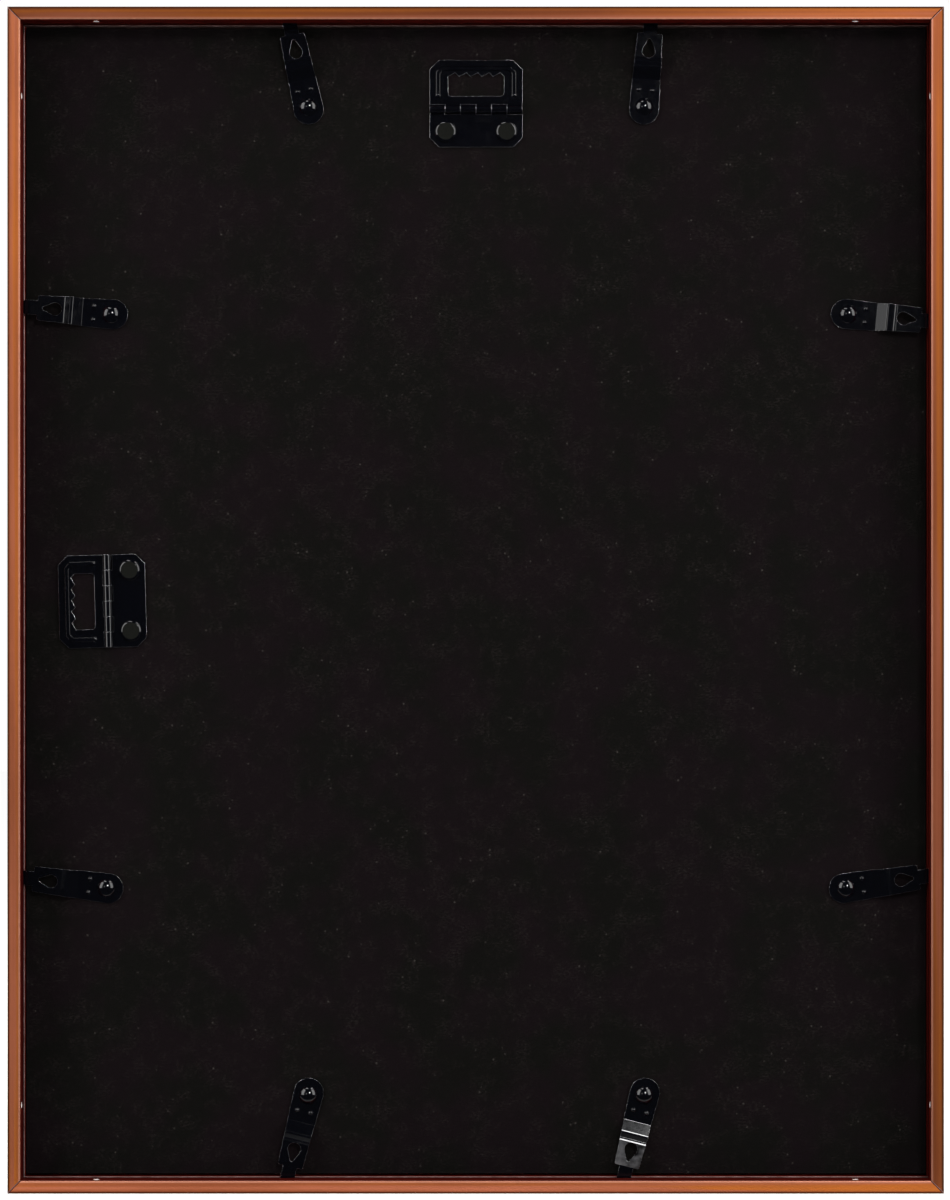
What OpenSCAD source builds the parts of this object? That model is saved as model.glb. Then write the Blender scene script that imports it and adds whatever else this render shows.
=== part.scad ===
// Wall picture frame: four mitred hollow rails, a glazed stack of sheets held in from
// behind by eight turn clips, and two hinged hangers on the backing board.
// +Z is up as the frame hangs, the picture looks along -Y, and the origin is the centre
// of the whole frame. Left and right are as seen from the front. Millimetres and degrees.

/* [Sheets] */
// Width of the glazing, mat, print and backing board
sheet_w = 279.4; // [220:0.1:420]
// Height of the glazing, mat, print and backing board
sheet_h = 355.6; // [300:0.1:560]
// Play between a sheet's side edges and the rails
sheet_play_w = 0.3; // [0.1:0.1:1]
// Play between a sheet's top and bottom edges and the rails
sheet_play_h = 0.7; // [0.1:0.1:1]
// Thickness of the glazing
glazing_t = 2; // [1:0.1:3]
// Thickness of the window mat
mat_t = 1.4; // [0.8:0.1:2.4]
// Width of the mat's left and right borders
mat_side = 38.1; // [20:0.1:60]
// Width of the mat's top and bottom borders
mat_end = 50.8; // [20:0.1:80]
// Thickness of the print
print_t = 0.3; // [0.1:0.05:0.6]
// Thickness of the backing board
board_t = 3; // [2:0.1:5]

/* [Rails] */
// Width of a rail's rear rim, which is the whole wall
rail_w = 4; // [3.6:0.1:6]
// Thickness of the rail's skins
skin = 1.2; // [1:0.05:1.3]
// Width of the front face, with the lip that the glazing rests on
face_w = 9; // [7:0.1:16]
// Thickness of the front face
face_t = 1.4; // [1:0.1:2.5]
// Depth of the recess from the rear rim to the backing board
recess = 12.4; // [11.6:0.1:18]
// Depth from the rear rim to the groove that the clips reach into
groove_drop = 6.8; // [5.4:0.1:7.6]
// Height of the groove
groove_h = 3.6; // [2:0.1:3.8]
// Thickness of the webs above and below the groove
web = 0.9; // [0.6:0.05:1.2]
// Radius of the rail's outer edges
outer_edge_r = 0.7; // [0.3:0.05:0.9]
// Radius of the rail's inner edges
inner_edge_r = 0.3; // [0.1:0.05:0.5]

/* [Corner keys] */
// Length of a corner key's legs
key_leg = 32; // [26:0.5:50]
// Play of a key in the rail's chamber, each side
key_fit = 0.05; // [0.02:0.01:0.15]
// Distance of the stake marks from the inner corner
stake_from_corner = 23; // [16:0.5:24]
// Radius of a stake mark
stake_r = 1; // [0.5:0.1:1.6]
// Depth of a stake mark
stake_deep = 0.45; // [0.2:0.05:0.7]

/* [Turn clips] */
// Spacing of the two clips on the top and bottom rails
clip_pitch_w = 104.4; // [90:0.1:140]
// Spacing of the two clips on the left and right rails
clip_pitch_h = 178.2; // [100:0.1:230]
// Distance from a clip's rivet to the end of its tongue
clip_reach = 26.8; // [25:0.1:32]
// How far a clip that stands square reaches into the groove
clip_bite = 1.8; // [1.2:0.1:2.2]
// Thickness of the clip's steel
clip_t = 0.6; // [0.4:0.05:0.9]
// Distance from the rivet to the clip's round end
clip_tail = 5.4; // [4.8:0.1:6.2]
// Width of the clip at its rivet
clip_pad_w = 9.2; // [8:0.1:11]
// Width of the clip at its shoulders
clip_plate_w = 7.7; // [6:0.1:8.4]
// Width of the tongue
tongue_w = 4.4; // [3:0.1:5.6]
// Length of the tongue
tongue_l = 4.4; // [3:0.1:5]
// Distance from the rivet to the foot of the ramp
ramp_start = 8.9; // [8:0.1:10]
// Length of the ramp along the board
ramp_run = 3.2; // [2.8:0.1:4.4]
// Width of the crease behind the ramp
crease_w = 2.6; // [1.4:0.1:2.8]
// Depth of the crease
crease_deep = 0.8; // [0.3:0.05:1]
// Distance from the crease to the pear-shaped hole
pear_gap = 0.1; // [0.1:0.1:0.6]
// Length of the pear-shaped hole
pear_l = 6; // [4:0.1:6.2]
// Radius of the hole's round end
pear_r = 2.05; // [1.2:0.05:2.1]
// Radius of a clip rivet's shank
clip_rivet_r = 1.5; // [1:0.05:1.8]
// Radius of a clip rivet's domed head
clip_head_r = 2.8; // [2.4:0.1:3.6]
// Height of the domed head
clip_head_h = 1.3; // [0.8:0.05:1.8]

/* [Hangers] */
// Width of a hanger along its hinge
hanger_w = 28.8; // [27:0.1:36]
// Distance from the hinge line to the loop leaf's outer edge
loop_l = 15.3; // [14.5:0.1:20]
// Distance from the hinge line to the base leaf's edge
base_l = 11.7; // [10.5:0.1:14]
// Thickness of the leaves
leaf_t = 0.65; // [0.4:0.05:0.7]
// Size of the cut corners
corner_cut = 2.9; // [2:0.1:3.4]
// Radius of the hinge barrel
barrel_r = 1.3; // [1.2:0.05:1.6]
// Radius of the hinge pin
pin_r = 0.65; // [0.5:0.05:0.8]
// Length of the slot that the nail or hook goes through
slot_l = 17.4; // [16:0.1:19]
// Width of the slot
slot_w = 6.1; // [5:0.1:6.6]
// Distance from the hinge line to the slot
slot_from_hinge = 4.1; // [3.4:0.1:4.6]
// Pitch of the saw teeth on the slot's outer edge
tooth_pitch = 3.5; // [3:0.1:4.5]
// Depth of the notches between the teeth
tooth_deep = 1.2; // [0.6:0.1:1.4]
// Spacing of a hanger's two rivets
hanger_rivet_pitch = 18.9; // [17:0.1:20]
// Distance from the hinge line to the rivets
rivet_from_hinge = 6.9; // [5.8:0.1:7.2]
// Radius of a hanger rivet's shank
hanger_rivet_r = 1.5; // [1:0.05:1.8]
// Radius of a hanger rivet's flat head
hanger_head_r = 3.3; // [2.8:0.1:3.6]
// Height of the flat head
hanger_head_h = 0.95; // [0.6:0.05:1]
// Distance from the top rail to the upper hanger's loop
hanger_inset_top = 10.5; // [8:0.1:16]
// Distance from the right rail to the side hanger's loop
hanger_inset_side = 10.4; // [8:0.1:16]
// Lean of the side hanger, in degrees
side_hanger_lean = 1.5; // [0:0.1:3]

/* [Fits] */
// Running clearance of a clip on its rivet and of a knuckle on its pin, in radius
run_fit = 0.06; // [0.02:0.01:0.09]
// Clearance of a fixed rivet in its hole, in radius
rivet_fit = 0.05; // [0.02:0.01:0.1]
// Gap under and over a piece that turns on the board
turn_gap = 0.1; // [0.05:0.01:0.2]
// Gap between neighbouring knuckles
knuckle_gap = 0.12; // [0.06:0.01:0.2]

/* [Hidden] */
$fn = 64;
cut = 1;
edge_steps = 4;

// How far two rivets stand from their line, as a share of the bite and of the groove's
// room beyond it
right_upper_slip_share = 0.8;
left_upper_slip_share = 0.65;
// Height of a tongue in the groove, as a share of the groove's height
tongue_place_share = 0.35;
// Details of a clip, as shares of the sizes that they follow
tongue_cut_share = 0.125;
crease_low_share = 0.6;
pear_tip_share = 0.3;
pip_r_share = 0.083;
pip_h_share = 0.7;
pip_place_share = 0.4;
pip_side_share = 0.23;
// Spread tail of a rivet
tail_r_share = 1.7;
tail_t_share = 0.2;
// Details of a hanger
leaf_start_share = 1.2;
slot_corner_share = 0.25;
tooth_tip_share = 0.35;
rib_h_share = 0.5;
rib_start_share = 0.25;
rib_pip_h_share = 0.6;
rivet_rim_share = 0.78;

stack_t = glazing_t + mat_t + print_t + board_t;
frame_d = face_t + stack_t + recess;
open_w = sheet_w + 2 * sheet_play_w;
open_h = sheet_h + 2 * sheet_play_h;
frame_w = open_w + 2 * rail_w;
frame_h = open_h + 2 * rail_w;

front_y = -frame_d / 2;
glazing_y = front_y + face_t;
mat_y = glazing_y + glazing_t;
print_y = mat_y + mat_t;
board_y = print_y + print_t;
board_back_y = board_y + board_t;

groove_top = frame_d - groove_drop;
groove_floor = groove_top - groove_h;
chamber_w = rail_w - 2 * skin;
key_t = chamber_w - 2 * key_fit;
key_chamber_floor = groove_top + web;
key_chamber_top = frame_d - skin;
key_w = key_chamber_top - key_chamber_floor - 2 * key_fit;
stake_v = (key_chamber_floor + key_chamber_top) / 2;

clip_inset = clip_reach - clip_bite;
clip_head_y = clip_t + 2 * turn_gap;
tongue_over_board = recess - groove_drop - groove_h * (1 - tongue_place_share);
clip_rise = tongue_over_board - clip_t / 2 - turn_gap;
shoulder = clip_reach - tongue_l;
plate_start = ramp_start + ramp_run + crease_w;
crease_low = ramp_start + ramp_run + crease_w * crease_low_share;
pear_start = plate_start + pear_gap;
pear_tip_r = pear_r * pear_tip_share;
tongue_cut = tongue_w * tongue_cut_share;
pip_r = clip_pad_w * pip_r_share;
pip_h = clip_t * pip_h_share;
pip_at = clip_head_r + (ramp_start - clip_head_r) * pip_place_share;
pip_side = clip_pad_w * pip_side_share;
tail_r = clip_rivet_r * tail_r_share;
tail_t = board_t * tail_t_share;

axis_h = barrel_r + turn_gap;
leaf_start = barrel_r * leaf_start_share;
knuckles = 6;
knuckle_l = hanger_w / knuckles;
teeth = 5;
slot_corner_r = slot_w * slot_corner_share;
rib_inset = 2.6;
rib_w = 1.4;
rib_h = leaf_t * rib_h_share;
rib_start = slot_from_hinge + rib_w * rib_start_share;
rib_pip_r = 0.9;
rib_pip_h = leaf_t * rib_pip_h_share;
rivet_rim_r = hanger_head_r * rivet_rim_share;
rivet_rim_h = hanger_head_h * rivet_rim_share;

upper_hinge_z = open_h / 2 - hanger_inset_top - loop_l;
side_hinge_x = open_w / 2 - hanger_inset_side - loop_l;

// Each clip: its name, the place of its rivet and the way its tongue points, as an
// angle from +X towards +Z. No clip stands quite square to its rail.
clip_x = open_w / 2 - clip_inset;
clip_z = open_h / 2 - clip_inset;
right_upper_slip = clip_bite * right_upper_slip_share;
left_upper_slip = (rail_w - skin - clip_bite) * left_upper_slip_share;
CLIPS = [
    ["top_left", -clip_pitch_w / 2, clip_z, 90 + 4.4],
    ["top_right", clip_pitch_w / 2, clip_z, 90 - 12.3],
    ["bottom_left", -clip_pitch_w / 2, -clip_z, 270 + 14.4],
    ["bottom_right", clip_pitch_w / 2, -clip_z, 270 + 14],
    ["left_upper", -clip_x - left_upper_slip, clip_pitch_h / 2, 180 + 5.5],
    ["left_lower", -clip_x, -clip_pitch_h / 2, 180 - 9],
    ["right_upper", clip_x - right_upper_slip, clip_pitch_h / 2, 4.4],
    ["right_lower", clip_x, -clip_pitch_h / 2, 7.7]
];
// Each hanger: its name, a point on its hinge line and the way its loop points
HANGERS = [
    ["upper", 0, upper_hinge_z, 90],
    ["side", side_hinge_x, 0, -side_hanger_lean]
];
// Each corner: its name and the signs of its X and Z
CORNERS = [
    ["top_left", -1, 1],
    ["top_right", 1, 1],
    ["bottom_left", -1, -1],
    ["bottom_right", 1, -1]
];
// Each rail: its name, the turn about Y that brings the bottom rail to it, the distance
// of its outer face from the middle, and its length
RAILS = [
    ["bottom", 0, frame_h / 2, frame_w],
    ["top", 180, frame_h / 2, frame_w],
    ["left", 90, frame_w / 2, frame_h],
    ["right", -90, frame_w / 2, frame_h]
];

// Shared shapes

// Stands a piece on the board's rear face: its x runs along the heading and its z away
// from the board.
module on_board(x, z, heading) {
    translate([x, board_back_y, z]) rotate([0, -heading, 0]) rotate([-90, 0, 0]) children();
}

// A low dome on the plane z = 0
module dome(r, h) {
    ball_r = (r * r + h * h) / (2 * h);
    intersection() {
        translate([0, 0, h - ball_r]) sphere(ball_r);
        cylinder(r = r + cut, h = h + cut);
    }
}

// Points of a quarter round of an edge, about a centre, from one angle to another
function edge_round(cx, cy, r, from, to) = [
    for (i = [0 : edge_steps])
        let (a = from + (to - from) * i / edge_steps)
        [cx + r * cos(a), cy + r * sin(a)]
];

// Direction from one point to another, and a point's offset to the left of a line
function unit(a, b) = (b - a) / norm(b - a);
function left_of(d) = [-d[1], d[0]];

// The points of a line moved sideways by d, with mitred bends
function shifted(line, d) = [
    for (i = [0 : len(line) - 1])
        let (
            last = len(line) - 1,
            before = left_of(unit(line[max(i - 1, 0)], line[max(i, 1)])),
            after = left_of(unit(line[min(i, last - 1)], line[min(i + 1, last)])),
            middle = before + after
        )
        line[i] + middle * (2 * d / (middle * middle))
];

// The same points from last to first
function backwards(line) = [for (i = [len(line) - 1 : -1 : 0]) line[i]];

// Rails

// The rail's section: u runs inwards from the outer face and v from the front face
module rail_section() {
    difference() {
        polygon(concat(
            edge_round(outer_edge_r, outer_edge_r, outer_edge_r, 180, 270),
            edge_round(face_w - inner_edge_r, inner_edge_r, inner_edge_r, 270, 360),
            [
                [face_w, face_t], [rail_w, face_t], [rail_w, groove_floor],
                [skin, groove_floor], [skin, groove_top], [rail_w, groove_top]
            ],
            edge_round(rail_w - inner_edge_r, frame_d - inner_edge_r, inner_edge_r, 0, 90),
            edge_round(outer_edge_r, frame_d - outer_edge_r, outer_edge_r, 90, 180)
        ));
        translate([skin, key_chamber_floor])
            square([chamber_w, key_chamber_top - key_chamber_floor]);
        translate([skin, face_t])
            square([chamber_w, groove_floor - web - face_t]);
    }
}

// Room between the two mitres of a rail
module mitred_room(length) {
    reach = face_w + cut;
    translate([0, frame_d + cut, 0]) rotate([90, 0, 0])
        linear_extrude(height = frame_d + 2 * cut)
            polygon([
                [0, -length / 2], [0, length / 2],
                [reach, length / 2 - reach], [reach, reach - length / 2]
            ]);
}

// The shallow marks where the rail's inner skin is staked onto the corner keys
module stake_marks(length) {
    mark_z = length / 2 - rail_w - stake_from_corner;
    ball_r = (stake_r * stake_r + stake_deep * stake_deep) / (2 * stake_deep);
    for (side = [-1, 1])
        translate([rail_w + ball_r - stake_deep, stake_v, side * mark_z]) sphere(ball_r);
}

// One rail along z, its outer face on x = 0 and its front face on y = 0
module rail(length) {
    difference() {
        intersection() {
            linear_extrude(height = length, center = true) rail_section();
            mitred_room(length);
        }
        stake_marks(length);
    }
}

module placed_rail(r) {
    color("peru")
        rotate([0, r[1], 0]) translate([0, front_y, -r[2]]) rotate([0, -90, 0]) rail(r[3]);
}

// A bent strip in the chambers of the two rails that meet at a corner
module corner_key(c) {
    at = skin + key_fit;
    color("silver")
        scale([c[1], 1, c[2]])
            translate([-frame_w / 2 + at, front_y + key_chamber_floor + key_fit + key_w,
                -frame_h / 2 + at])
            rotate([90, 0, 0])
                linear_extrude(height = key_w)
                    polygon([
                        [0, 0], [key_leg, 0], [key_leg, key_t],
                        [key_t, key_t], [key_t, key_leg], [0, key_leg]
                    ]);
}

// Sheets

module sheet(y, t) {
    translate([-sheet_w / 2, y, -sheet_h / 2]) cube([sheet_w, t, sheet_h]);
}

module glazing_sheet() {
    color("lightcyan", 0.35) sheet(glazing_y, glazing_t);
}

// A slab of the mat's window, wider by spread on each side, that starts at y
module window_slab(y, spread) {
    window_w = sheet_w - 2 * mat_side + 2 * spread;
    window_h = sheet_h - 2 * mat_end + 2 * spread;
    translate([-window_w / 2, y, -window_h / 2]) cube([window_w, cut, window_h]);
}

// The mat, its window cut at 45 degrees so that it opens towards the front
module window_mat() {
    color("ivory") difference() {
        sheet(mat_y, mat_t);
        hull() {
            window_slab(mat_y + mat_t, 0);
            window_slab(mat_y - cut, mat_t + cut);
        }
    }
}

module print_sheet() {
    color("white") sheet(print_y, print_t);
}

// Hole through the board for a rivet, with room for its spread tail in front
module rivet_hole(shank_r) {
    hole_r = shank_r + rivet_fit;
    translate([0, 0, -board_t - cut]) cylinder(r = hole_r, h = board_t + 2 * cut);
    translate([0, 0, -board_t - cut]) cylinder(r = tail_r + rivet_fit, h = tail_t + cut);
}

module backing_board() {
    color([0.08, 0.07, 0.065]) difference() {
        sheet(board_y, board_t);
        for (c = CLIPS) on_board(c[1], c[2], c[3]) rivet_hole(clip_rivet_r);
        for (h = HANGERS) on_board(h[1], h[2], h[3])
            for (side = [-1, 1])
                translate([-rivet_from_hinge, side * hanger_rivet_pitch / 2, 0])
                    rivet_hole(hanger_rivet_r);
    }
}

// Turn clips

// Shank and spread tail of a rivet whose head starts at height h over the board
module rivet_shank(shank_r, h) {
    translate([0, 0, -board_t]) cylinder(r = shank_r, h = board_t + h);
    translate([0, 0, -board_t]) cylinder(r = tail_r, h = tail_t);
}

module clip_rivet(c) {
    color([0.04, 0.04, 0.05]) on_board(c[1], c[2], c[3]) {
        rivet_shank(clip_rivet_r, clip_head_y);
        translate([0, 0, clip_head_y]) dome(clip_head_r, clip_head_h);
    }
}

// The clip from above: a round pad, a tapered plate and a narrow tongue
module clip_outline() {
    translate([clip_pad_w / 2 - clip_tail, 0]) circle(clip_pad_w / 2);
    translate([clip_pad_w / 2 - clip_tail, -clip_pad_w / 2])
        square([max(clip_tail - clip_pad_w / 2, 0), clip_pad_w]);
    polygon([
        [0, -clip_pad_w / 2], [shoulder, -clip_plate_w / 2], [shoulder, -tongue_w / 2],
        [clip_reach - tongue_cut, -tongue_w / 2], [clip_reach, tongue_cut - tongue_w / 2],
        [clip_reach, tongue_w / 2 - tongue_cut], [clip_reach - tongue_cut, tongue_w / 2],
        [shoulder, tongue_w / 2], [shoulder, clip_plate_w / 2], [0, clip_pad_w / 2]
    ]);
}

// The bent strip from the side, as wide as the pad
module clip_strip() {
    under = [
        [-clip_pad_w, 0], [ramp_start, 0], [ramp_start + ramp_run, clip_rise],
        [crease_low, clip_rise - crease_deep],
        [plate_start, clip_rise], [clip_reach + cut, clip_rise]
    ];
    rotate([90, 0, 0]) linear_extrude(height = clip_pad_w + 2 * cut, center = true)
        polygon(concat(under, backwards(shifted(under, clip_t))));
}

// A hole that is round at one end and drawn in to a blunt tip at the other
module pear_hole() {
    hull() {
        circle(pear_r);
        translate([pear_l - pear_r - pear_tip_r, 0]) circle(pear_tip_r);
    }
}

module turn_clip(c) {
    over = clip_rise + clip_t + cut;
    color([0.05, 0.05, 0.06]) on_board(c[1], c[2], c[3]) translate([0, 0, turn_gap]) {
        difference() {
            intersection() {
                clip_strip();
                translate([0, 0, -cut]) linear_extrude(height = over + cut) clip_outline();
            }
            translate([0, 0, -cut])
                cylinder(r = clip_rivet_r + run_fit, h = clip_t + 2 * cut);
            translate([pear_start + pear_r, 0, 0])
                linear_extrude(height = over) pear_hole();
        }
        for (side = [-1, 1])
            translate([pip_at, side * pip_side, clip_t]) dome(pip_r, pip_h);
    }
}

// Hangers

// A leaf's outline from start to its far edge, with two cut corners, drawn in by inset
module leaf_outline(start, length, inset) {
    half = hanger_w / 2 - inset;
    far = length - inset;
    corner = corner_cut - inset * (2 - sqrt(2));
    polygon([
        [start, -half], [far - corner, -half], [far, corner - half],
        [far, half - corner], [far - corner, half], [start, half]
    ]);
}

// Every second knuckle of the barrel, from the given one, and the strips that join
// them to a leaf whose underside is at height under
module knuckle_row(first, under) {
    length = knuckle_l - knuckle_gap;
    for (i = [first : 2 : knuckles - 1])
        translate([0, (i + 0.5) * knuckle_l - hanger_w / 2, 0]) {
            translate([0, 0, axis_h]) rotate([90, 0, 0])
                cylinder(r = barrel_r, h = length, center = true);
            translate([0, -length / 2, under]) cube([leaf_start + leaf_t, length, leaf_t]);
        }
}

// Room for the pin through a leaf's knuckles
module pin_hole(r) {
    translate([0, 0, axis_h]) rotate([90, 0, 0])
        cylinder(r = r, h = hanger_w + 2 * cut, center = true);
}

module slot_outline() {
    inside_l = slot_l - 2 * slot_corner_r;
    inside_w = slot_w - 2 * slot_corner_r;
    translate([slot_from_hinge + slot_w / 2, 0]) {
        square([slot_w, inside_l], center = true);
        square([inside_w, slot_l], center = true);
        for (a = [-1, 1], b = [-1, 1])
            translate([a * inside_w / 2, b * inside_l / 2]) circle(slot_corner_r);
        for (i = [0 : teeth - 1])
            translate([slot_w / 2, (i - (teeth - 1) / 2) * tooth_pitch - tooth_pitch / 2])
                polygon([
                    [-slot_corner_r, 0], [0, 0], [tooth_deep, tooth_pitch * tooth_tip_share],
                    [0, tooth_pitch], [-slot_corner_r, tooth_pitch]
                ]);
    }
}

module hanger_loop(h) {
    top = turn_gap + leaf_t;
    color([0.05, 0.05, 0.06]) on_board(h[1], h[2], h[3]) {
        difference() {
            union() {
                translate([0, 0, turn_gap]) linear_extrude(height = leaf_t) difference() {
                    leaf_outline(leaf_start, loop_l, 0);
                    slot_outline();
                }
                knuckle_row(0, turn_gap);
            }
            pin_hole(pin_r + run_fit);
        }
        translate([0, 0, top]) linear_extrude(height = rib_h) difference() {
            leaf_outline(rib_start, loop_l, rib_inset - rib_w / 2);
            leaf_outline(rib_start - cut, loop_l, rib_inset + rib_w / 2);
        }
        for (side = [-1, 1])
            translate([rib_start, side * (hanger_w / 2 - rib_inset), top])
                dome(rib_pip_r, rib_pip_h);
    }
}

module hanger_base(h) {
    color([0.05, 0.05, 0.06]) on_board(h[1], h[2], h[3] + 180) difference() {
        union() {
            linear_extrude(height = leaf_t) leaf_outline(leaf_start, base_l, 0);
            knuckle_row(0, 0);
        }
        pin_hole(pin_r + rivet_fit);
        for (side = [-1, 1])
            translate([rivet_from_hinge, side * hanger_rivet_pitch / 2, -cut])
                cylinder(r = hanger_rivet_r + rivet_fit, h = leaf_t + 2 * cut);
    }
}

module hanger_pin(h) {
    color("dimgray") on_board(h[1], h[2], h[3]) translate([0, 0, axis_h])
        rotate([90, 0, 0]) cylinder(r = pin_r, h = hanger_w, center = true);
}

module hanger_rivets(h) {
    color([0.1, 0.1, 0.1]) on_board(h[1], h[2], h[3])
        for (side = [-1, 1])
            translate([-rivet_from_hinge, side * hanger_rivet_pitch / 2, 0]) {
                rivet_shank(hanger_rivet_r, leaf_t);
                translate([0, 0, leaf_t]) {
                    cylinder(r = hanger_head_r, h = rivet_rim_h / 2);
                    translate([0, 0, rivet_rim_h / 2])
                        cylinder(r1 = hanger_head_r, r2 = rivet_rim_r, h = rivet_rim_h / 2);
                    cylinder(r = rivet_rim_r, h = hanger_head_h);
                }
            }
}

for (r = RAILS) placed_rail(r);
for (c = CORNERS) corner_key(c);
glazing_sheet();
window_mat();
print_sheet();
backing_board();
for (c = CLIPS) turn_clip(c);
for (c = CLIPS) clip_rivet(c);
for (h = HANGERS) hanger_base(h);
for (h = HANGERS) hanger_loop(h);
for (h = HANGERS) hanger_pin(h);
for (h = HANGERS) hanger_rivets(h);
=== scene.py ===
"""Looks of a wall picture frame, seen from behind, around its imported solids.

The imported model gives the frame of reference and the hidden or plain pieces. The rails,
turn clips, clip rivets, hangers and glazing are modelled here in millimetres, as by hand,
and then put in place in metres. +Z is up as the frame hangs and +Y points to the wall.
Left and right are as seen from the front.
"""

import logging
import math
from collections.abc import Callable, Iterator
from contextlib import contextmanager
from dataclasses import dataclass, field
from enum import Enum, IntEnum

import bmesh
import bpy
from mathutils import Matrix, Vector


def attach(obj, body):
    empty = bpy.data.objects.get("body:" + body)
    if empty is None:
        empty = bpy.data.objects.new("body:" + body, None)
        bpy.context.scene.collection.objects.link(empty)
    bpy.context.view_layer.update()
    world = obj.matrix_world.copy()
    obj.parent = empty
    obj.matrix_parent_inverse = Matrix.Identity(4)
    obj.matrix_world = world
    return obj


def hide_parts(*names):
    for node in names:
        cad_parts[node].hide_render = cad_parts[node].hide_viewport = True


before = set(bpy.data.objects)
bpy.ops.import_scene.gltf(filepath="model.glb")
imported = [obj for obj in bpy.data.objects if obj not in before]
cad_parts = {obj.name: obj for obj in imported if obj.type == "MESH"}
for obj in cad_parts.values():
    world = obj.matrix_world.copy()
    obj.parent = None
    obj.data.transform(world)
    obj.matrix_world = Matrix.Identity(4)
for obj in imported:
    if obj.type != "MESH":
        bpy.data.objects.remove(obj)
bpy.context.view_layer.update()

# One millimetre of the bench in metres.
MM = 0.001
# Millimetres: slack of a place test, merging distance, run of a cutter past a face, a punch.
SLACK = 0.01
MERGE = 0.002
OVERRUN = 1.0
PUNCH_L = 4.0
ROUND_SIDES = 48
# The range that a cloud noise mostly keeps to.
CLOUDY = (0.3, 0.7)
WHITE = (1, 1, 1, 1)
LOG = logging.getLogger("picture_frame")

Pair = tuple[float, float]
Triple = tuple[float, float, float]
Test = Callable[[Vector], bool]
Material = bpy.types.Material
Socket = bpy.types.NodeSocket


class Kind(Enum):
    """What a selection in edit mode is made of."""

    CORNERS = "VERT"
    EDGES = "EDGE"
    FACES = "FACE"


class Join(Enum):
    """How one shape is joined to another."""

    ADD = "UNION"
    TAKE = "DIFFERENCE"


class Place(Enum):
    """The coordinates that a pattern lies on."""

    SOLID = "Object"
    MAP = "UV"
    SKY = "Generated"


class RailFinish(IntEnum):
    """The finishes of a rail, in the order of its material indices."""

    BRUSHED = 0
    # Darker than the rim: painted shade on the inner walls.
    WALL = 1
    # A pale line painted on as a highlight.
    RUBBED = 2
    # Near black: painted shade in the groove.
    GROOVE = 3
    # Bare metal in the stake marks, pale enough to be a painted glint too.
    STAKED = 4


def near(a: float, b: float, slack: float = 1e-3) -> bool:
    """Says whether two lengths are the same to within a slack."""
    return abs(a - b) < slack


def dome_rings(radius: float, height: float, steps: int, sunk: float) -> list[Pair]:
    """Lists the rings of a low ball-shaped dome that starts below its seat.

    Args:
        radius: Radius at the seat.
        height: Height over the seat.
        steps: Number of rings over the seat.
        sunk: How far it starts below the seat.

    Returns:
        Radius and height of each ring.
    """
    arc_share = 0.98
    ball = (radius**2 + height**2) / (2 * height)
    widest = math.asin(radius / ball)
    rings = [(radius, -sunk)]
    for step in range(steps + 1):
        angle = widest * (1 - arc_share * step / steps)
        rings.append((ball * math.sin(angle), ball * math.cos(angle) - ball + height))
    return rings


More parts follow.
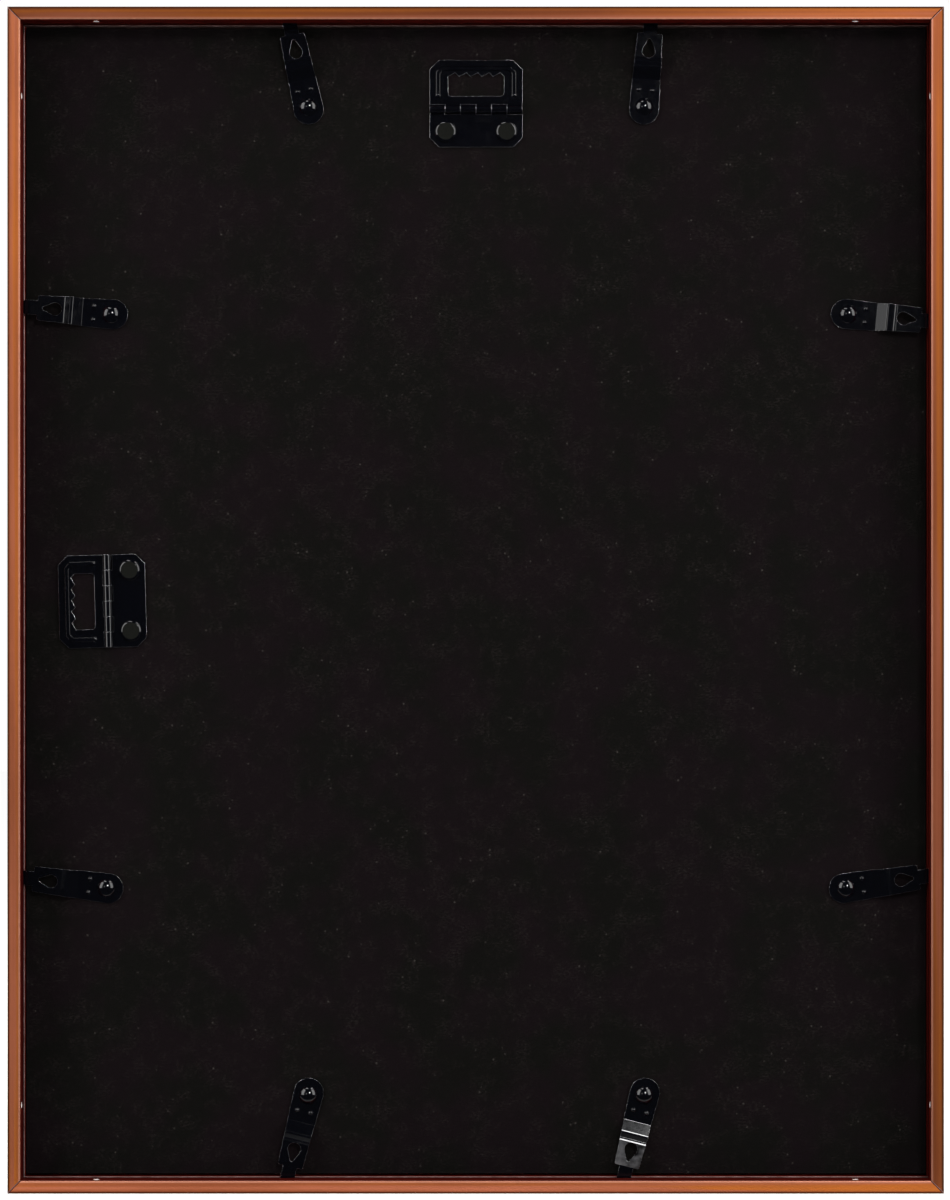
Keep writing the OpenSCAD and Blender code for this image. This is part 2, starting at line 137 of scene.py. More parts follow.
class Workpiece:
    """One mesh on the bench, in millimetres, shaped with edit-mode operators."""

    def __init__(self, name: str, primitive: Callable[..., set[str]], **options: object) -> None:
        """Adds a primitive with nothing else selected.

        Args:
            name: Name of the object.
            primitive: The operator that adds it.
            options: The operator's own options.
        """
        bpy.ops.object.select_all(action="DESELECT")
        primitive(**options)
        self.object = bpy.context.object
        self.object.name = name
        self.object.data.name = name
        bpy.ops.object.transform_apply(location=True, rotation=True, scale=True)

    @classmethod
    def block(cls, name: str, low: Triple, high: Triple) -> "Workpiece":
        """Makes a block between two corners.

        Args:
            name: Name of the object.
            low: Its lowest corner.
            high: Its highest corner.

        Returns:
            The block.
        """
        middle = (Vector(low) + Vector(high)) / 2
        size = Vector(high) - Vector(low)
        return cls(name, bpy.ops.mesh.primitive_cube_add, size=1, location=middle, scale=size)

    @classmethod
    def pin(cls, radius: float, middle: Triple = (0, 0, 0)) -> "Workpiece":
        """Makes an upright pin that punches a round hole."""
        return cls(
            "punch", bpy.ops.mesh.primitive_cylinder_add, vertices=ROUND_SIDES, radius=radius,
            depth=PUNCH_L, location=middle,
        )

    @classmethod
    def turned(cls, name: str, profile: list[Pair], sides: int) -> "Workpiece":
        """Turns a round shape about Z, as on a lathe, from a disc that is drawn upwards.

        Args:
            name: Name of the object.
            profile: Radius and height of each ring, from the bottom disc upwards.
            sides: Number of sides.

        Returns:
            The closed shape.
        """
        radius, height = profile[0]
        piece = cls(
            name, bpy.ops.mesh.primitive_circle_add, vertices=sides, radius=radius,
            fill_type="NGON", location=(0, 0, height),
        )
        with piece.edit():
            bpy.ops.mesh.select_all(action="SELECT")
            for next_radius, next_height in profile[1:]:
                bpy.ops.mesh.extrude_region_move(
                    TRANSFORM_OT_translate={"value": (0, 0, next_height - height)}
                )
                piece.resize((next_radius / radius, next_radius / radius, 1))
                radius, height = next_radius, next_height
            piece.face_outwards()
        return piece

    def take_up(self) -> None:
        """Makes this the one selected and the active object."""
        bpy.ops.object.select_all(action="DESELECT")
        self.object.select_set(True)
        bpy.context.view_layer.objects.active = self.object

    @contextmanager
    def edit(self) -> Iterator[None]:
        """Holds the mesh in edit mode while the block runs."""
        self.take_up()
        bpy.ops.object.mode_set(mode="EDIT")
        try:
            yield
        finally:
            bpy.ops.object.mode_set(mode="OBJECT")

    def pick(self, kind: Kind, test: Test, by_middle: bool = False) -> None:
        """Selects what lies where a test says, in edit mode.

        Args:
            kind: Corners, edges or faces.
            test: Says whether a place counts.
            by_middle: Whether the middle alone is tested, in place of all the corners.
        """
        bpy.ops.mesh.select_mode(type=kind.value)
        bpy.ops.mesh.select_all(action="DESELECT")
        mesh = bmesh.from_edit_mesh(self.object.data)
        of_kind = {Kind.CORNERS: mesh.verts, Kind.EDGES: mesh.edges, Kind.FACES: mesh.faces}
        for element in of_kind[kind]:
            corners = [element] if kind is Kind.CORNERS else element.verts
            places = [corner.co for corner in corners]
            if by_middle:
                places = [sum(places, Vector()) / len(places)]
            if all(test(place) for place in places):
                element.select_set(True)
        mesh.select_flush_mode()
        bmesh.update_edit_mesh(self.object.data)

    def keep_edges_along_z(self) -> None:
        """Leaves only the edges that run along Z selected."""
        along_share = 0.9
        mesh = bmesh.from_edit_mesh(self.object.data)
        for edge in mesh.edges:
            along = (edge.verts[1].co - edge.verts[0].co).normalized()
            if edge.select and abs(along.z) < along_share:
                edge.select_set(False)
        mesh.select_flush_mode()
        bmesh.update_edit_mesh(self.object.data)

    @staticmethod
    def extrude(move: Triple) -> None:
        """Draws the selection out along a line."""
        bpy.ops.mesh.extrude_region_move(TRANSFORM_OT_translate={"value": move})

    @staticmethod
    def move(step: Triple) -> None:
        """Moves the selection."""
        bpy.ops.transform.translate(value=step)

    @staticmethod
    def resize(factors: Triple, centre: Triple = (0, 0, 0)) -> None:
        """Scales the selection about a point."""
        bpy.ops.transform.resize(value=factors, center_override=centre)

    @staticmethod
    def cut(point: Triple, normal: Triple, drop_outer: bool = False) -> None:
        """Cuts the whole mesh on a plane.

        Args:
            point: A point of the plane.
            normal: Its normal.
            drop_outer: Whether what lies on the normal's side goes, and the cut is closed.
        """
        bpy.ops.mesh.select_all(action="SELECT")
        bpy.ops.mesh.bisect(
            plane_co=point, plane_no=normal, clear_outer=drop_outer, use_fill=drop_outer
        )

    @staticmethod
    def bevel(width: float, segments: int, corners: bool = False) -> None:
        """Rounds the selected edges, or the selected corners of a flat sheet."""
        bpy.ops.mesh.bevel(
            offset=width, segments=segments, affect="VERTICES" if corners else "EDGES",
            offset_type="OFFSET", clamp_overlap=True,
        )

    @staticmethod
    def face_outwards(merge: float = MERGE) -> None:
        """Merges doubles and turns every face outwards, in edit mode.

        Args:
            merge: Distance within which corners are merged.
        """
        bpy.ops.mesh.select_all(action="SELECT")
        bpy.ops.mesh.remove_doubles(threshold=merge)
        bpy.ops.mesh.normals_make_consistent(inside=False)

    def modifier(self, kind: str, **settings: object) -> None:
        """Adds a modifier and applies it.

        Args:
            kind: Its type.
            settings: Its settings.
        """
        self.take_up()
        added = self.object.modifiers.new(kind.title(), kind)
        for key, value in settings.items():
            setattr(added, key, value)
        bpy.ops.object.modifier_apply(modifier=added.name)

    def join(self, other: "Workpiece", how: Join) -> None:
        """Joins another shape to this one or cuts it out, and uses it up.

        Args:
            other: The other shape.
            how: Whether it is added or taken away.
        """
        self.modifier("BOOLEAN", object=other.object, operation=how.value, solver="EXACT")
        other.scrap()

    def raise_pips(self, seat: Triple, radius: float, height: float) -> None:
        """Raises two low round pips, one on each side of Y = 0.

        Args:
            seat: Middle of the seat of the pip on the +Y side.
            radius: Their radius.
            height: Their height.
        """
        steps, sunk, sides = 6, 0.2, 24
        for side in (-1, 1):
            pip = Workpiece.turned("pip", dome_rings(radius, height, steps, sunk), sides)
            pip.place_on_bench((seat[0], side * seat[1], seat[2]))
            self.join(pip, Join.ADD)

    def make_slots(self, count: int) -> None:
        """Adds empty material slots up to a number."""
        while len(self.object.data.materials) < count:
            self.object.data.materials.append(None)

    def round_edges(self, width: float, angle: float = 50, segments: int = 3) -> None:
        """Rounds every edge sharper than an angle and gives it the second finish.

        Args:
            width: Width of the rounding.
            angle: The angle in degrees.
            segments: Number of steps of the rounding.
        """
        self.make_slots(2)
        self.modifier(
            "BEVEL", width=width, segments=segments, limit_method="ANGLE",
            angle_limit=math.radians(angle), use_clamp_overlap=True, material=1,
        )

    def copy(self, name: str) -> "Workpiece":
        """Makes a copy that has its own mesh.

        Args:
            name: Name of the copy.

        Returns:
            The copy.
        """
        twin = Workpiece.__new__(Workpiece)
        twin.object = self.object.copy()
        twin.object.data = self.object.data.copy()
        twin.object.name = twin.object.data.name = name
        bpy.context.scene.collection.objects.link(twin.object)
        return twin

    def smooth(self, angle: float = 40) -> None:
        """Shades the mesh smooth up to an angle, with flat faces kept flat.

        Args:
            angle: The angle in degrees.
        """
        face_weight = 80
        self.take_up()
        bpy.ops.object.shade_smooth_by_angle(angle=math.radians(angle))
        self.modifier("WEIGHTED_NORMAL", keep_sharp=True, weight=face_weight)

    def place_on_bench(self, at: Triple) -> None:
        """Moves the shape on the bench, in millimetres."""
        self.object.data.transform(Matrix.Translation(at))

    def place(self, matrix: Matrix) -> None:
        """Moves the shape from the bench to its place, in metres, and applies it.

        Args:
            matrix: Takes the bench to the frame, both in millimetres.
        """
        self.take_up()
        self.object.matrix_world = Matrix.Scale(MM, 4) @ matrix
        bpy.ops.object.transform_apply(location=True, rotation=True, scale=True)

    def scrap(self) -> None:
        """Throws the shape away."""
        bpy.data.objects.remove(self.object)

    def deliver(self, body: str, slot: str, nodes: list[str], *finishes: Material) -> None:
        """Gives the finished piece its body and finishes, and hides the solids that it stands for.

        Args:
            body: The body that it rides on.
            slot: Its material slot in the record; not used.
            nodes: The solids that it stands for.
            finishes: Its materials, in the order of its material indices.
        """
        self.make_slots(len(finishes))
        for index, finish in enumerate(finishes):
            self.object.data.materials[index] = finish
        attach(self.object, body)
        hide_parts(*nodes)
        LOG.info("%s: %d faces", self.object.name, len(self.object.data.polygons))


@dataclass(frozen=True)
class Grain:
    """A cloud noise: its scale, the levels and roughness of its detail, and its stretch."""

    scale: float
    detail: float = 4
    rough: float = 0.55
    stretch: Triple = (1, 1, 1)
    place: Place = Place.SOLID


def drawn(along: float, across: float, detail: float = 3, rough: float = 0.55) -> Grain:
    """Gives a noise that is drawn out along a rail, on the rail's own map."""
    return Grain(1, detail, rough, (along, across, 1), Place.MAP)


class Nodes:
    """A node tree, with short calls for the nodes that the finishes and the studio use."""

    def __init__(self, tree: bpy.types.NodeTree) -> None:
        """Empties the tree of a material or of the world."""
        self.tree = tree
        self.tree.nodes.clear()

    def put(self, socket: Socket, value: object) -> None:
        """Links a socket to another one, or sets it to a plain value.

        Args:
            socket: The socket.
            value: The other socket, or the value.
        """
        if isinstance(value, Socket):
            self.tree.links.new(value, socket)
        else:
            socket.default_value = value

    def add(self, kind: str, **inputs: object) -> bpy.types.Node:
        """Adds a node.

        Args:
            kind: Its type, without the two words that all of them start with.
            inputs: What goes into its sockets, which are named with _ for a blank.

        Returns:
            The node.
        """
        node = self.tree.nodes.new(f"ShaderNode{kind}")
        for key, value in inputs.items():
            self.put(node.inputs[key.replace("_", " ")], value)
        return node

    def place(self, kind: Place = Place.SOLID, stretch: Triple = (1, 1, 1)) -> Socket:
        """Gives the coordinates of a kind, stretched along each axis."""
        source = self.add("TexCoord").outputs[kind.value]
        return self.add("Mapping", Vector=source, Scale=stretch).outputs["Vector"]

    def across(self, place: Socket) -> Socket:
        """Gives the Y of some coordinates."""
        return self.add("SeparateXYZ", Vector=place).outputs["Y"]

    def noise(self, grain: Grain) -> Socket:
        """Gives a cloud noise from 0 to 1.

        Args:
            grain: What the noise is like.

        Returns:
            The noise.
        """
        node = self.add(
            "TexNoise", Vector=self.place(grain.place, grain.stretch), Scale=grain.scale,
            Detail=grain.detail, Roughness=grain.rough,
        )
        return node.outputs["Fac"]

    def specks(self, scale: float, size: float) -> Socket:
        """Gives small round specks, 1 in the middle and 0 between them.

        Args:
            scale: How close together they lie.
            size: Their radius, as a share of their spacing.

        Returns:
            The specks.
        """
        node = self.add("TexVoronoi", Vector=self.place(), Scale=scale)
        return self.span(node.outputs["Distance"], (0, size), (1, 0))

    def span(self, value: Socket, limits: Pair, to: Pair = (0, 1)) -> Socket:
        """Maps a range of a value onto another range.

        Args:
            value: The value.
            limits: Its range.
            to: The other range.

        Returns:
            The mapped value.
        """
        node = self.add(
            "MapRange", Value=value, From_Min=limits[0], From_Max=limits[1], To_Min=to[0],
            To_Max=to[1],
        )
        return node.outputs["Result"]

    def math(self, operation: str, a: Socket, b: Socket | float) -> Socket:
        """Works on a value with another value or a number.

        Args:
            operation: What is done, in the node's own words.
            a: The value.
            b: The other value or the number.

        Returns:
            The result.
        """
        node = self.add("Math")
        node.operation = operation
        for socket, value in zip(node.inputs, (a, b)):
            self.put(socket, value)
        return node.outputs["Value"]

    def times(self, a: Socket, b: Socket | float) -> Socket:
        """Multiplies a value by another value or a number."""
        return self.math("MULTIPLY", a, b)

    def weigh(self, a: Socket, b: Socket, share: float = 0.5) -> Socket:
        """Adds a share of one value to the rest of another."""
        return self.math("ADD", self.times(a, share), self.times(b, 1 - share))

    def blend(self, share: Socket, a: Socket | Triple, b: Socket | Triple) -> Socket:
        """Mixes two colours or colour sockets by a share.

        Args:
            share: How much there is of the second.
            a: The first.
            b: The second.

        Returns:
            The mixed colour.
        """
        node = self.add("Mix")
        node.data_type = "RGBA"
        self.put(node.inputs["Factor"], share)
        for key, colour in (("A", a), ("B", b)):
            socket = next(s for s in node.inputs if s.name == key and s.type == "RGBA")
            self.put(socket, colour if isinstance(colour, Socket) else (*colour, 1))
        return next(s for s in node.outputs if s.type == "RGBA")

    def bump(self, height: Socket, relief: Pair, under: Socket | None = None) -> Socket:
        """Gives a normal that is tilted by a height, over another normal if one is given.

        Args:
            height: The height.
            relief: How strongly it tilts, and its full height in metres.
            under: The other normal.

        Returns:
            The normal.
        """
        strength, distance = relief
        node = self.add("Bump", Height=height, Strength=strength, Distance=distance)
        if under is not None:
            self.put(node.inputs["Normal"], under)
        return node.outputs["Normal"]


class Graph(Nodes):
    """The nodes of a material round its principled shader."""

    def __init__(self, name: str, **values: object) -> None:
        """Starts a material.

        Args:
            name: Its name.
            values: Plain values of the shader's sockets, which are named with _ for a blank.
        """
        self.material = bpy.data.materials.new(name)
        self.material.use_nodes = True
        super().__init__(self.material.node_tree)
        self.shader = self.add("BsdfPrincipled", **values)
        self.add("OutputMaterial", Surface=self.shader.outputs["BSDF"])

    def finish(self, colour: Socket, roughness: Socket, normal: Socket) -> Material:
        """Links the three sockets that every finish has, and gives the material.

        Args:
            colour: The base colour.
            roughness: The roughness.
            normal: The tilted normal.

        Returns:
            The material.
        """
        for key, source in (("Base Color", colour), ("Roughness", roughness), ("Normal", normal)):
            self.put(self.shader.inputs[key], source)
        return self.material


@dataclass(frozen=True)
class BrushedCopper:
    """Copper-coloured anodised aluminium, brushed along the rails. Lengths in metres."""

    name: str
    # Scale of all its colours; set per rail, it is painted light and shade.
    depth: float
    deep: Triple = (0.225, 0.062, 0.025)
    rosy: Triple = (0.350, 0.106, 0.053)
    golden: Triple = (0.385, 0.110, 0.020)
    # Painted shade along the rim's outer edge.
    shaded_outer_edge: Triple = (0.045, 0.014, 0.006)
    # Painted highlight along the rim's inner edge.
    highlight_inner_edge: Triple = (0.46, 0.195, 0.130)
    mirror_tint: tuple[float, ...] = (1.0, 0.42, 0.20, 1.0)
    metallic: float = 0.6
    specular: float = 0.05
    anisotropy: float = 0.85
    brushing_turn: float = 0.25
    bands: Grain = drawn(2.5, 420, 2)
    hues: Grain = drawn(5, 260, 2)
    lines: Grain = drawn(24, 9000, 3, 0.6)
    clouds: Grain = drawn(7, 90)
    rosy_to_golden: Pair = (0.46, 0.55)
    deep_to_bright: Pair = (0.42, 0.57)
    line_share: float = 0.6
    roughness: Pair = (0.40, 0.50)
    rim: Pair = (0.0209, 0.0242)
    outer_fade: float = 0.0006
    outer_share: float = 0.95
    inner_fade: Pair = (0.0004, 0.0001)
    inner_share: float = 0.85
    relief: Pair = (0.10, 0.00006)

    def make(self) -> Material:
        """Builds the material.

        Returns:
            The material, which reads the rails' own map: along the rail, and round it.
        """
        graph = Graph(
            self.name, Metallic=self.metallic, Specular_IOR_Level=self.specular,
            Specular_Tint=self.mirror_tint, Anisotropic=self.anisotropy,
            Anisotropic_Rotation=self.brushing_turn,
        )
        tangent = graph.add("Tangent")
        tangent.direction_type, tangent.uv_map = "UV_MAP", "Along"
        graph.put(graph.shader.inputs["Tangent"], tangent.outputs["Tangent"])
        deep, rosy, golden, pale = (
            tuple(channel * self.depth for channel in tint)
            for tint in (self.deep, self.rosy, self.golden, self.highlight_inner_edge)
        )
        lines, clouds = graph.noise(self.lines), graph.noise(self.clouds)
        bright = graph.blend(graph.span(graph.noise(self.hues), self.rosy_to_golden), rosy, golden)
        tone = graph.weigh(graph.noise(self.bands), clouds)
        body = graph.blend(graph.span(tone, self.deep_to_bright), deep, bright)
        across = graph.across(graph.place(Place.MAP))
        # Painted shade along the rim's outer edge and a painted highlight along its inner edge.
        start, end = self.rim
        outer = graph.span(across, (start, start + self.outer_fade), (self.outer_share, 0))
        inner_limits = (end - self.inner_fade[0], end - self.inner_fade[1])
        inner = graph.span(across, inner_limits, (0, self.inner_share))
        colour = graph.blend(inner, graph.blend(outer, body, self.shaded_outer_edge), pale)
        wear = graph.weigh(lines, clouds, self.line_share)
        roughness = graph.span(wear, CLOUDY, self.roughness)
        return graph.finish(colour, roughness, graph.bump(lines, self.relief))


@dataclass(frozen=True)
class ShadedCopper:
    """The same anodising on the unbrushed inner walls, smoother, and darkened as painted shade of
    the recess.
    """

    name: str = "copper_inner_wall"
    deep: Triple = (0.070, 0.004, 0.002)
    bright: Triple = (0.150, 0.012, 0.007)
    mirror_tint: tuple[float, ...] = (0.45, 0.06, 0.04, 1.0)
    metallic: float = 0.5
    lines: Grain = drawn(3, 700)
    patches: Grain = drawn(30, 120)
    deep_to_bright: Pair = (0.35, 0.65)
    roughness: Pair = (0.28, 0.42)
    relief: Pair = (0.15, 0.00004)

    def make(self) -> Material:
        """Builds the material.

        Returns:
            The material, which reads the rails' own map.
        """
        graph = Graph(self.name, Metallic=self.metallic, Specular_Tint=self.mirror_tint)
        lines = graph.noise(self.lines)
        colour = graph.blend(graph.span(lines, self.deep_to_bright), self.deep, self.bright)
        roughness = graph.span(graph.noise(self.patches), CLOUDY, self.roughness)
        return graph.finish(colour, roughness, graph.bump(lines, self.relief))


@dataclass(frozen=True)
class BlackEnamel:
    """Black enamel over stamped steel, glossy or matt."""

    name: str
    colour: Triple = (0.0008, 0.0009, 0.0017)
    dust: Triple = (0.008, 0.008, 0.009)
    roughness: Pair = (0.06, 0.13)
    waviness: float = 0.03
    specular: float = 0.35
    ior: float = 1.5
    peel: Grain = Grain(1500, 2)
    waves: Grain = Grain(260, 2)
    handling: Grain = Grain(420, 4, 0.62)
    specks: Pair = (900, 0.16)
    dusty: Pair = (0.5, 0.68)
    dust_share: float = 0.8
    peel_relief: Pair = (0.05, 0.00003)
    wave_h: float = 0.0002

    def make(self) -> Material:
        """Builds the material.

        Returns:
            The material, which reads object coordinates.
        """
        graph = Graph(self.name, Metallic=0.0, IOR=self.ior, Specular_IOR_Level=self.specular)
        handling = graph.noise(self.handling)
        dusty = graph.span(handling, self.dusty, (0, self.dust_share))
        share = graph.times(graph.specks(*self.specks), dusty)
        fine = graph.bump(graph.noise(self.peel), self.peel_relief)
        return graph.finish(
            graph.blend(share, self.colour, self.dust),
            graph.span(handling, CLOUDY, self.roughness),
            graph.bump(graph.noise(self.waves), (self.waviness, self.wave_h), fine),
        )


@dataclass(frozen=True)
class BlackBoard:
    """Black fibre board with a soft mottle, short fibres and a little dust."""

    name: str = "black_fibre_board"
    warm: Triple = (0.0037, 0.0022, 0.0027)
    cool: Triple = (0.0026, 0.0024, 0.0020)
    pale: Triple = (0.0086, 0.0069, 0.0066)
    speck: Triple = (0.030, 0.027, 0.024)
    ior: float = 1.4
    specular: float = 0.05
    fibres: Grain = Grain(900, 4, 0.7, (1, 1, 2.2))
    tufts: Grain = Grain(210, 4, 0.65)
    clouds: Grain = Grain(38, 3)
    specks: Pair = (330, 0.14)
    warm_to_cool: Pair = (0.42, 0.58)
    pale_tufts: Pair = (0.46, 0.66)
    pale_fibres: Pair = (0.45, 0.65)
    dusty: Pair = (0.5, 0.6)
    roughness: Pair = (0.72, 0.92)
    fibre_relief: Pair = (0.35, 0.0002)
    tuft_relief: Pair = (0.25, 0.0006)

    def make(self) -> Material:
        """Builds the material.

        Returns:
            The material, which reads object coordinates.
        """
        graph = Graph(self.name, IOR=self.ior, Specular_IOR_Level=self.specular)
        fibres, tufts = graph.noise(self.fibres), graph.noise(self.tufts)
        clouds = graph.span(graph.noise(self.clouds), self.warm_to_cool)
        ground = graph.blend(clouds, self.warm, self.cool)
        mottle = graph.times(
            graph.span(tufts, self.pale_tufts), graph.span(fibres, self.pale_fibres)
        )
        flecks = graph.times(graph.specks(*self.specks), graph.span(tufts, self.dusty))
        return graph.finish(
            graph.blend(flecks, graph.blend(mottle, ground, self.pale), self.speck),
            graph.span(tufts, CLOUDY, self.roughness),
            graph.bump(fibres, self.fibre_relief, graph.bump(tufts, self.tuft_relief)),
        )


@dataclass(frozen=True)
class PlainMetal:
    """Bare or plated steel with a fine drawn grain."""

    name: str
    dark: Triple
    light: Triple
    roughness: Pair = (0.28, 0.46)
    metallic: float = 1.0
    spangle: Grain = Grain(240, 3)
    grain: Grain = Grain(700, 3, stretch=(1, 14, 1))
    relief: Pair = (0.2, 0.00004)

    def make(self) -> Material:
        """Builds the material.

        Returns:
            The material, which reads object coordinates.
        """
        graph = Graph(self.name, Metallic=self.metallic)
        spangle, grain = graph.noise(self.spangle), graph.noise(self.grain)
        return graph.finish(
            graph.blend(graph.span(spangle, CLOUDY), self.dark, self.light),
            graph.span(grain, CLOUDY, self.roughness),
            graph.bump(grain, self.relief),
        )


@dataclass(frozen=True)
class Card:
    """Mat board and paper: a fine fibrous white."""

    name: str
    face: Triple = (0.80, 0.775, 0.715)
    fleck: Triple = (0.73, 0.70, 0.635)
    tilt: float = 0.25
    ior: float = 1.45
    specular: float = 0.3
    fibres: Grain = Grain(1400, 4, 0.7)
    pulp: Grain = Grain(120, 4, 0.6)
    flecked: Pair = (0.45, 0.75)
    pulp_share: Pair = (0.3, 1)
    roughness: Pair = (0.78, 0.92)
    fibre_h: float = 0.00012

    def make(self) -> Material:
        """Builds the material.

        Returns:
            The material, which reads object coordinates.
        """
        graph = Graph(self.name, IOR=self.ior, Specular_IOR_Level=self.specular)
        fibres, pulp = graph.noise(self.fibres), graph.noise(self.pulp)
        share = graph.times(
            graph.span(fibres, self.flecked), graph.span(pulp, CLOUDY, self.pulp_share)
        )
        return graph.finish(
            graph.blend(share, self.face, self.fleck),
            graph.span(pulp, CLOUDY, self.roughness),
            graph.bump(fibres, (self.tilt, self.fibre_h)),
        )


@dataclass(frozen=True)
class ClearSheet:
    """The glazing: a clear sheet with a faint green body and slight haze."""

    name: str = "clear_glazing"
    tint: Triple = (0.965, 0.985, 0.975)
    pale: Triple = (0.985, 0.99, 0.985)
    ior: float = 1.49
    haze: Grain = Grain(14, 3)
    hazy: Pair = (0.4, 0.75)
    roughness: Pair = (0.0, 0.03)
    ripple: Grain = Grain(5, 1)
    relief: Pair = (0.02, 0.0002)

    def make(self) -> Material:
        """Builds the material.

        Returns:
            The material, which reads object coordinates.
        """
        graph = Graph(self.name, Transmission_Weight=1.0, IOR=self.ior)
        haze = graph.noise(self.haze)
        return graph.finish(
            graph.blend(haze, self.tint, self.pale),
            graph.span(haze, self.hazy, self.roughness),
            graph.bump(graph.noise(self.ripple), self.relief),
        )


@dataclass
class Opening:
    """The opening that the rails leave and the planes of the stack, in millimetres."""

    width: float = 280.0
    height: float = 357.0
    depth: float = 20.5
    rail_w: float = 4.0
    board_back: float = -2.15

    @property
    def front(self) -> float:
        """Place of the front face along Y."""
        return -self.depth / 2

    def on_board(self, x: float, z: float, heading: float) -> Matrix:
        """Stands a shape on the board's rear face.

        Args:
            x: Place across.
            z: Place up.
            heading: Turn of the shape's X, in degrees from +X towards +Z.

        Returns:
            The matrix that takes the shape's Z to +Y.
        """
        return (
            Matrix.Translation((x, self.board_back, z))
            @ Matrix.Rotation(-math.radians(heading), 4, "Y")
            @ Matrix.Rotation(-math.pi / 2, 4, "X")
        )


@dataclass
class Rails:
    """Four mitred hollow rails with a rolled rear rim, a clip groove and a front lip.

    The bench has X inwards from a rail's outer face, Y from the front to the rear rim and Z
    along the rail. The fields from wall_depth to level tell the finishes of its faces apart.
    """

    opening: Opening
    skin: float = 1.2
    face_w: float = 9.0
    face_t: float = 1.4
    groove_drop: float = 6.8
    groove_h: float = 3.6
    groove_r: float = 0.15
    web: float = 0.9
    outer_r: float = 0.7
    inner_r: float = 0.55
    rim_steps: int = 6
    lip_steps: int = 4
    groove_steps: int = 3
    seam: float = 0.22
    seam_deep: float = 0.15
    seam_reach: float = 0.3
    lip_highlight_w: float = 0.32
    stake_from_corner: float = 23.0
    stake_r: float = 1.0
    stake_deep: float = 0.45
    stake_rings: int = 32
    long_cut: float = 5.0
    smooth_angle: float = 35.0
    wall_depth: float = 0.35
    rim_depth: float = 1.0
    lip_band: float = 0.2
    groove_band: float = 0.1
    stake_band: Pair = (0.05, 0.002)
    seam_band_share: float = 1.5
    seam_depth: float = 0.6
    foot_band: float = 0.05
    tilted: float = 0.2
    level: float = 0.5
    # Sides whose lower lip keeps the groove's painted shade in place of the painted highlight line.
    shaded_lips: tuple[str, ...] = ("left", "top")
    # The side whose wall below the groove carries a painted highlight line.
    highlit_foot: str = "top"
    bar_starts: dict[str, float] = field(
        default_factory=lambda: {"bottom": 0.0, "top": 0.9, "left": 1.7, "right": 3.35}
    )

    @property
    def groove_top(self) -> float:
        """Height of the groove's upper lip."""
        return self.opening.depth - self.groove_drop

    @property
    def groove_floor(self) -> float:
        """Height of the groove's lower lip."""
        return self.groove_top - self.groove_h

    def section(self, length: float) -> Workpiece:
        """Shapes the unmitred rail along Z, its outer face on X = 0.

        Args:
            length: Length of the rail.

        Returns:
            The rail with its hollow chambers and rounded edges.
        """
        wide, deep = self.opening.rail_w, self.opening.depth
        top, floor = self.groove_top, self.groove_floor
        half = length / 2 + self.long_cut
        rail = Workpiece.block("rail", (0, 0, -half), (wide, deep, half))
        with rail.edit():
            for v in (self.face_t, floor, top):
                rail.cut((0, v, 0), (0, 1, 0))
            rail.pick(Kind.FACES, lambda p: near(p.x, wide) and p.y < self.face_t + SLACK)
            rail.extrude((self.face_w - wide, 0, 0))
            rail.pick(Kind.FACES, lambda p: near(p.x, wide) and floor - SLACK < p.y < top + SLACK)
            rail.extrude((self.skin - wide, 0, 0))
            # A narrow band at the inner face that carries the painted highlight line.
            rail.cut((wide - self.lip_highlight_w, 0, 0), (1, 0, 0))
            for radius, steps, test in (
                (self.outer_r, self.rim_steps,
                 lambda p: near(p.x, 0) and (near(p.y, 0) or near(p.y, deep))),
                (self.inner_r, self.rim_steps, lambda p: near(p.x, wide) and near(p.y, deep)),
                (self.inner_r, self.lip_steps, lambda p: near(p.x, self.face_w)),
                (self.groove_r, self.groove_steps,
                 lambda p: near(p.x, wide) and (near(p.y, top) or near(p.y, floor))),
            ):
                rail.pick(Kind.EDGES, test)
                rail.keep_edges_along_z()
                rail.bevel(radius, steps)
            rail.face_outwards()
        for low, high in ((top + self.web, deep - self.skin), (self.face_t, floor - self.web)):
            end = half + OVERRUN
            room = Workpiece.block("room", (self.skin, low, -end), (wide - self.skin, high, end))
            rail.join(room, Join.TAKE)
        return rail

    def mitred(self, length: float) -> Workpiece:
        """Cuts the mitres and their sunk edges, stakes the inner skin and maps the rail.

        Args:
            length: Length of the rail between its outer corners.

        Returns:
            The finished rail on the bench.
        """
        rail = self.section(length)
        deep, wide = self.opening.depth, self.opening.rail_w
        with rail.edit():
            for end in (-1, 1):
                rail.cut((0, 0, end * length / 2), (1, 0, end), drop_outer=True)
                rail.cut((0, 0, end * (length / 2 - self.seam * math.sqrt(2))), (1, 0, end))
                rail.pick(
                    Kind.CORNERS,
                    lambda p, end=end: near(p.z * end, length / 2 - p.x, SLACK)
                    and p.y > deep - self.seam_reach,
                )
                rail.move((0, -self.seam_deep, 0))
            rail.face_outwards()
        mark_v, mark_w = self.stake_place(length)
        ball = (self.stake_r**2 + self.stake_deep**2) / (2 * self.stake_deep)
        for side in (-1, 1):
            punch = Workpiece(
                "punch", bpy.ops.mesh.primitive_uv_sphere_add, segments=ROUND_SIDES,
                ring_count=self.stake_rings, radius=ball,
                location=(wide + ball - self.stake_deep, mark_v, side * mark_w),
            )
            rail.join(punch, Join.TAKE)
        self.map_along(rail, length)
        return rail

    def stake_place(self, length: float) -> Pair:
        """Gives the height of the stake marks and their distance from the rail's middle.

        Args:
            length: Length of the rail between its outer corners.

        Returns:
            The two measures.
        """
        height = (self.groove_top + self.web + self.opening.depth - self.skin) / 2
        return height, length / 2 - self.opening.rail_w - self.stake_from_corner

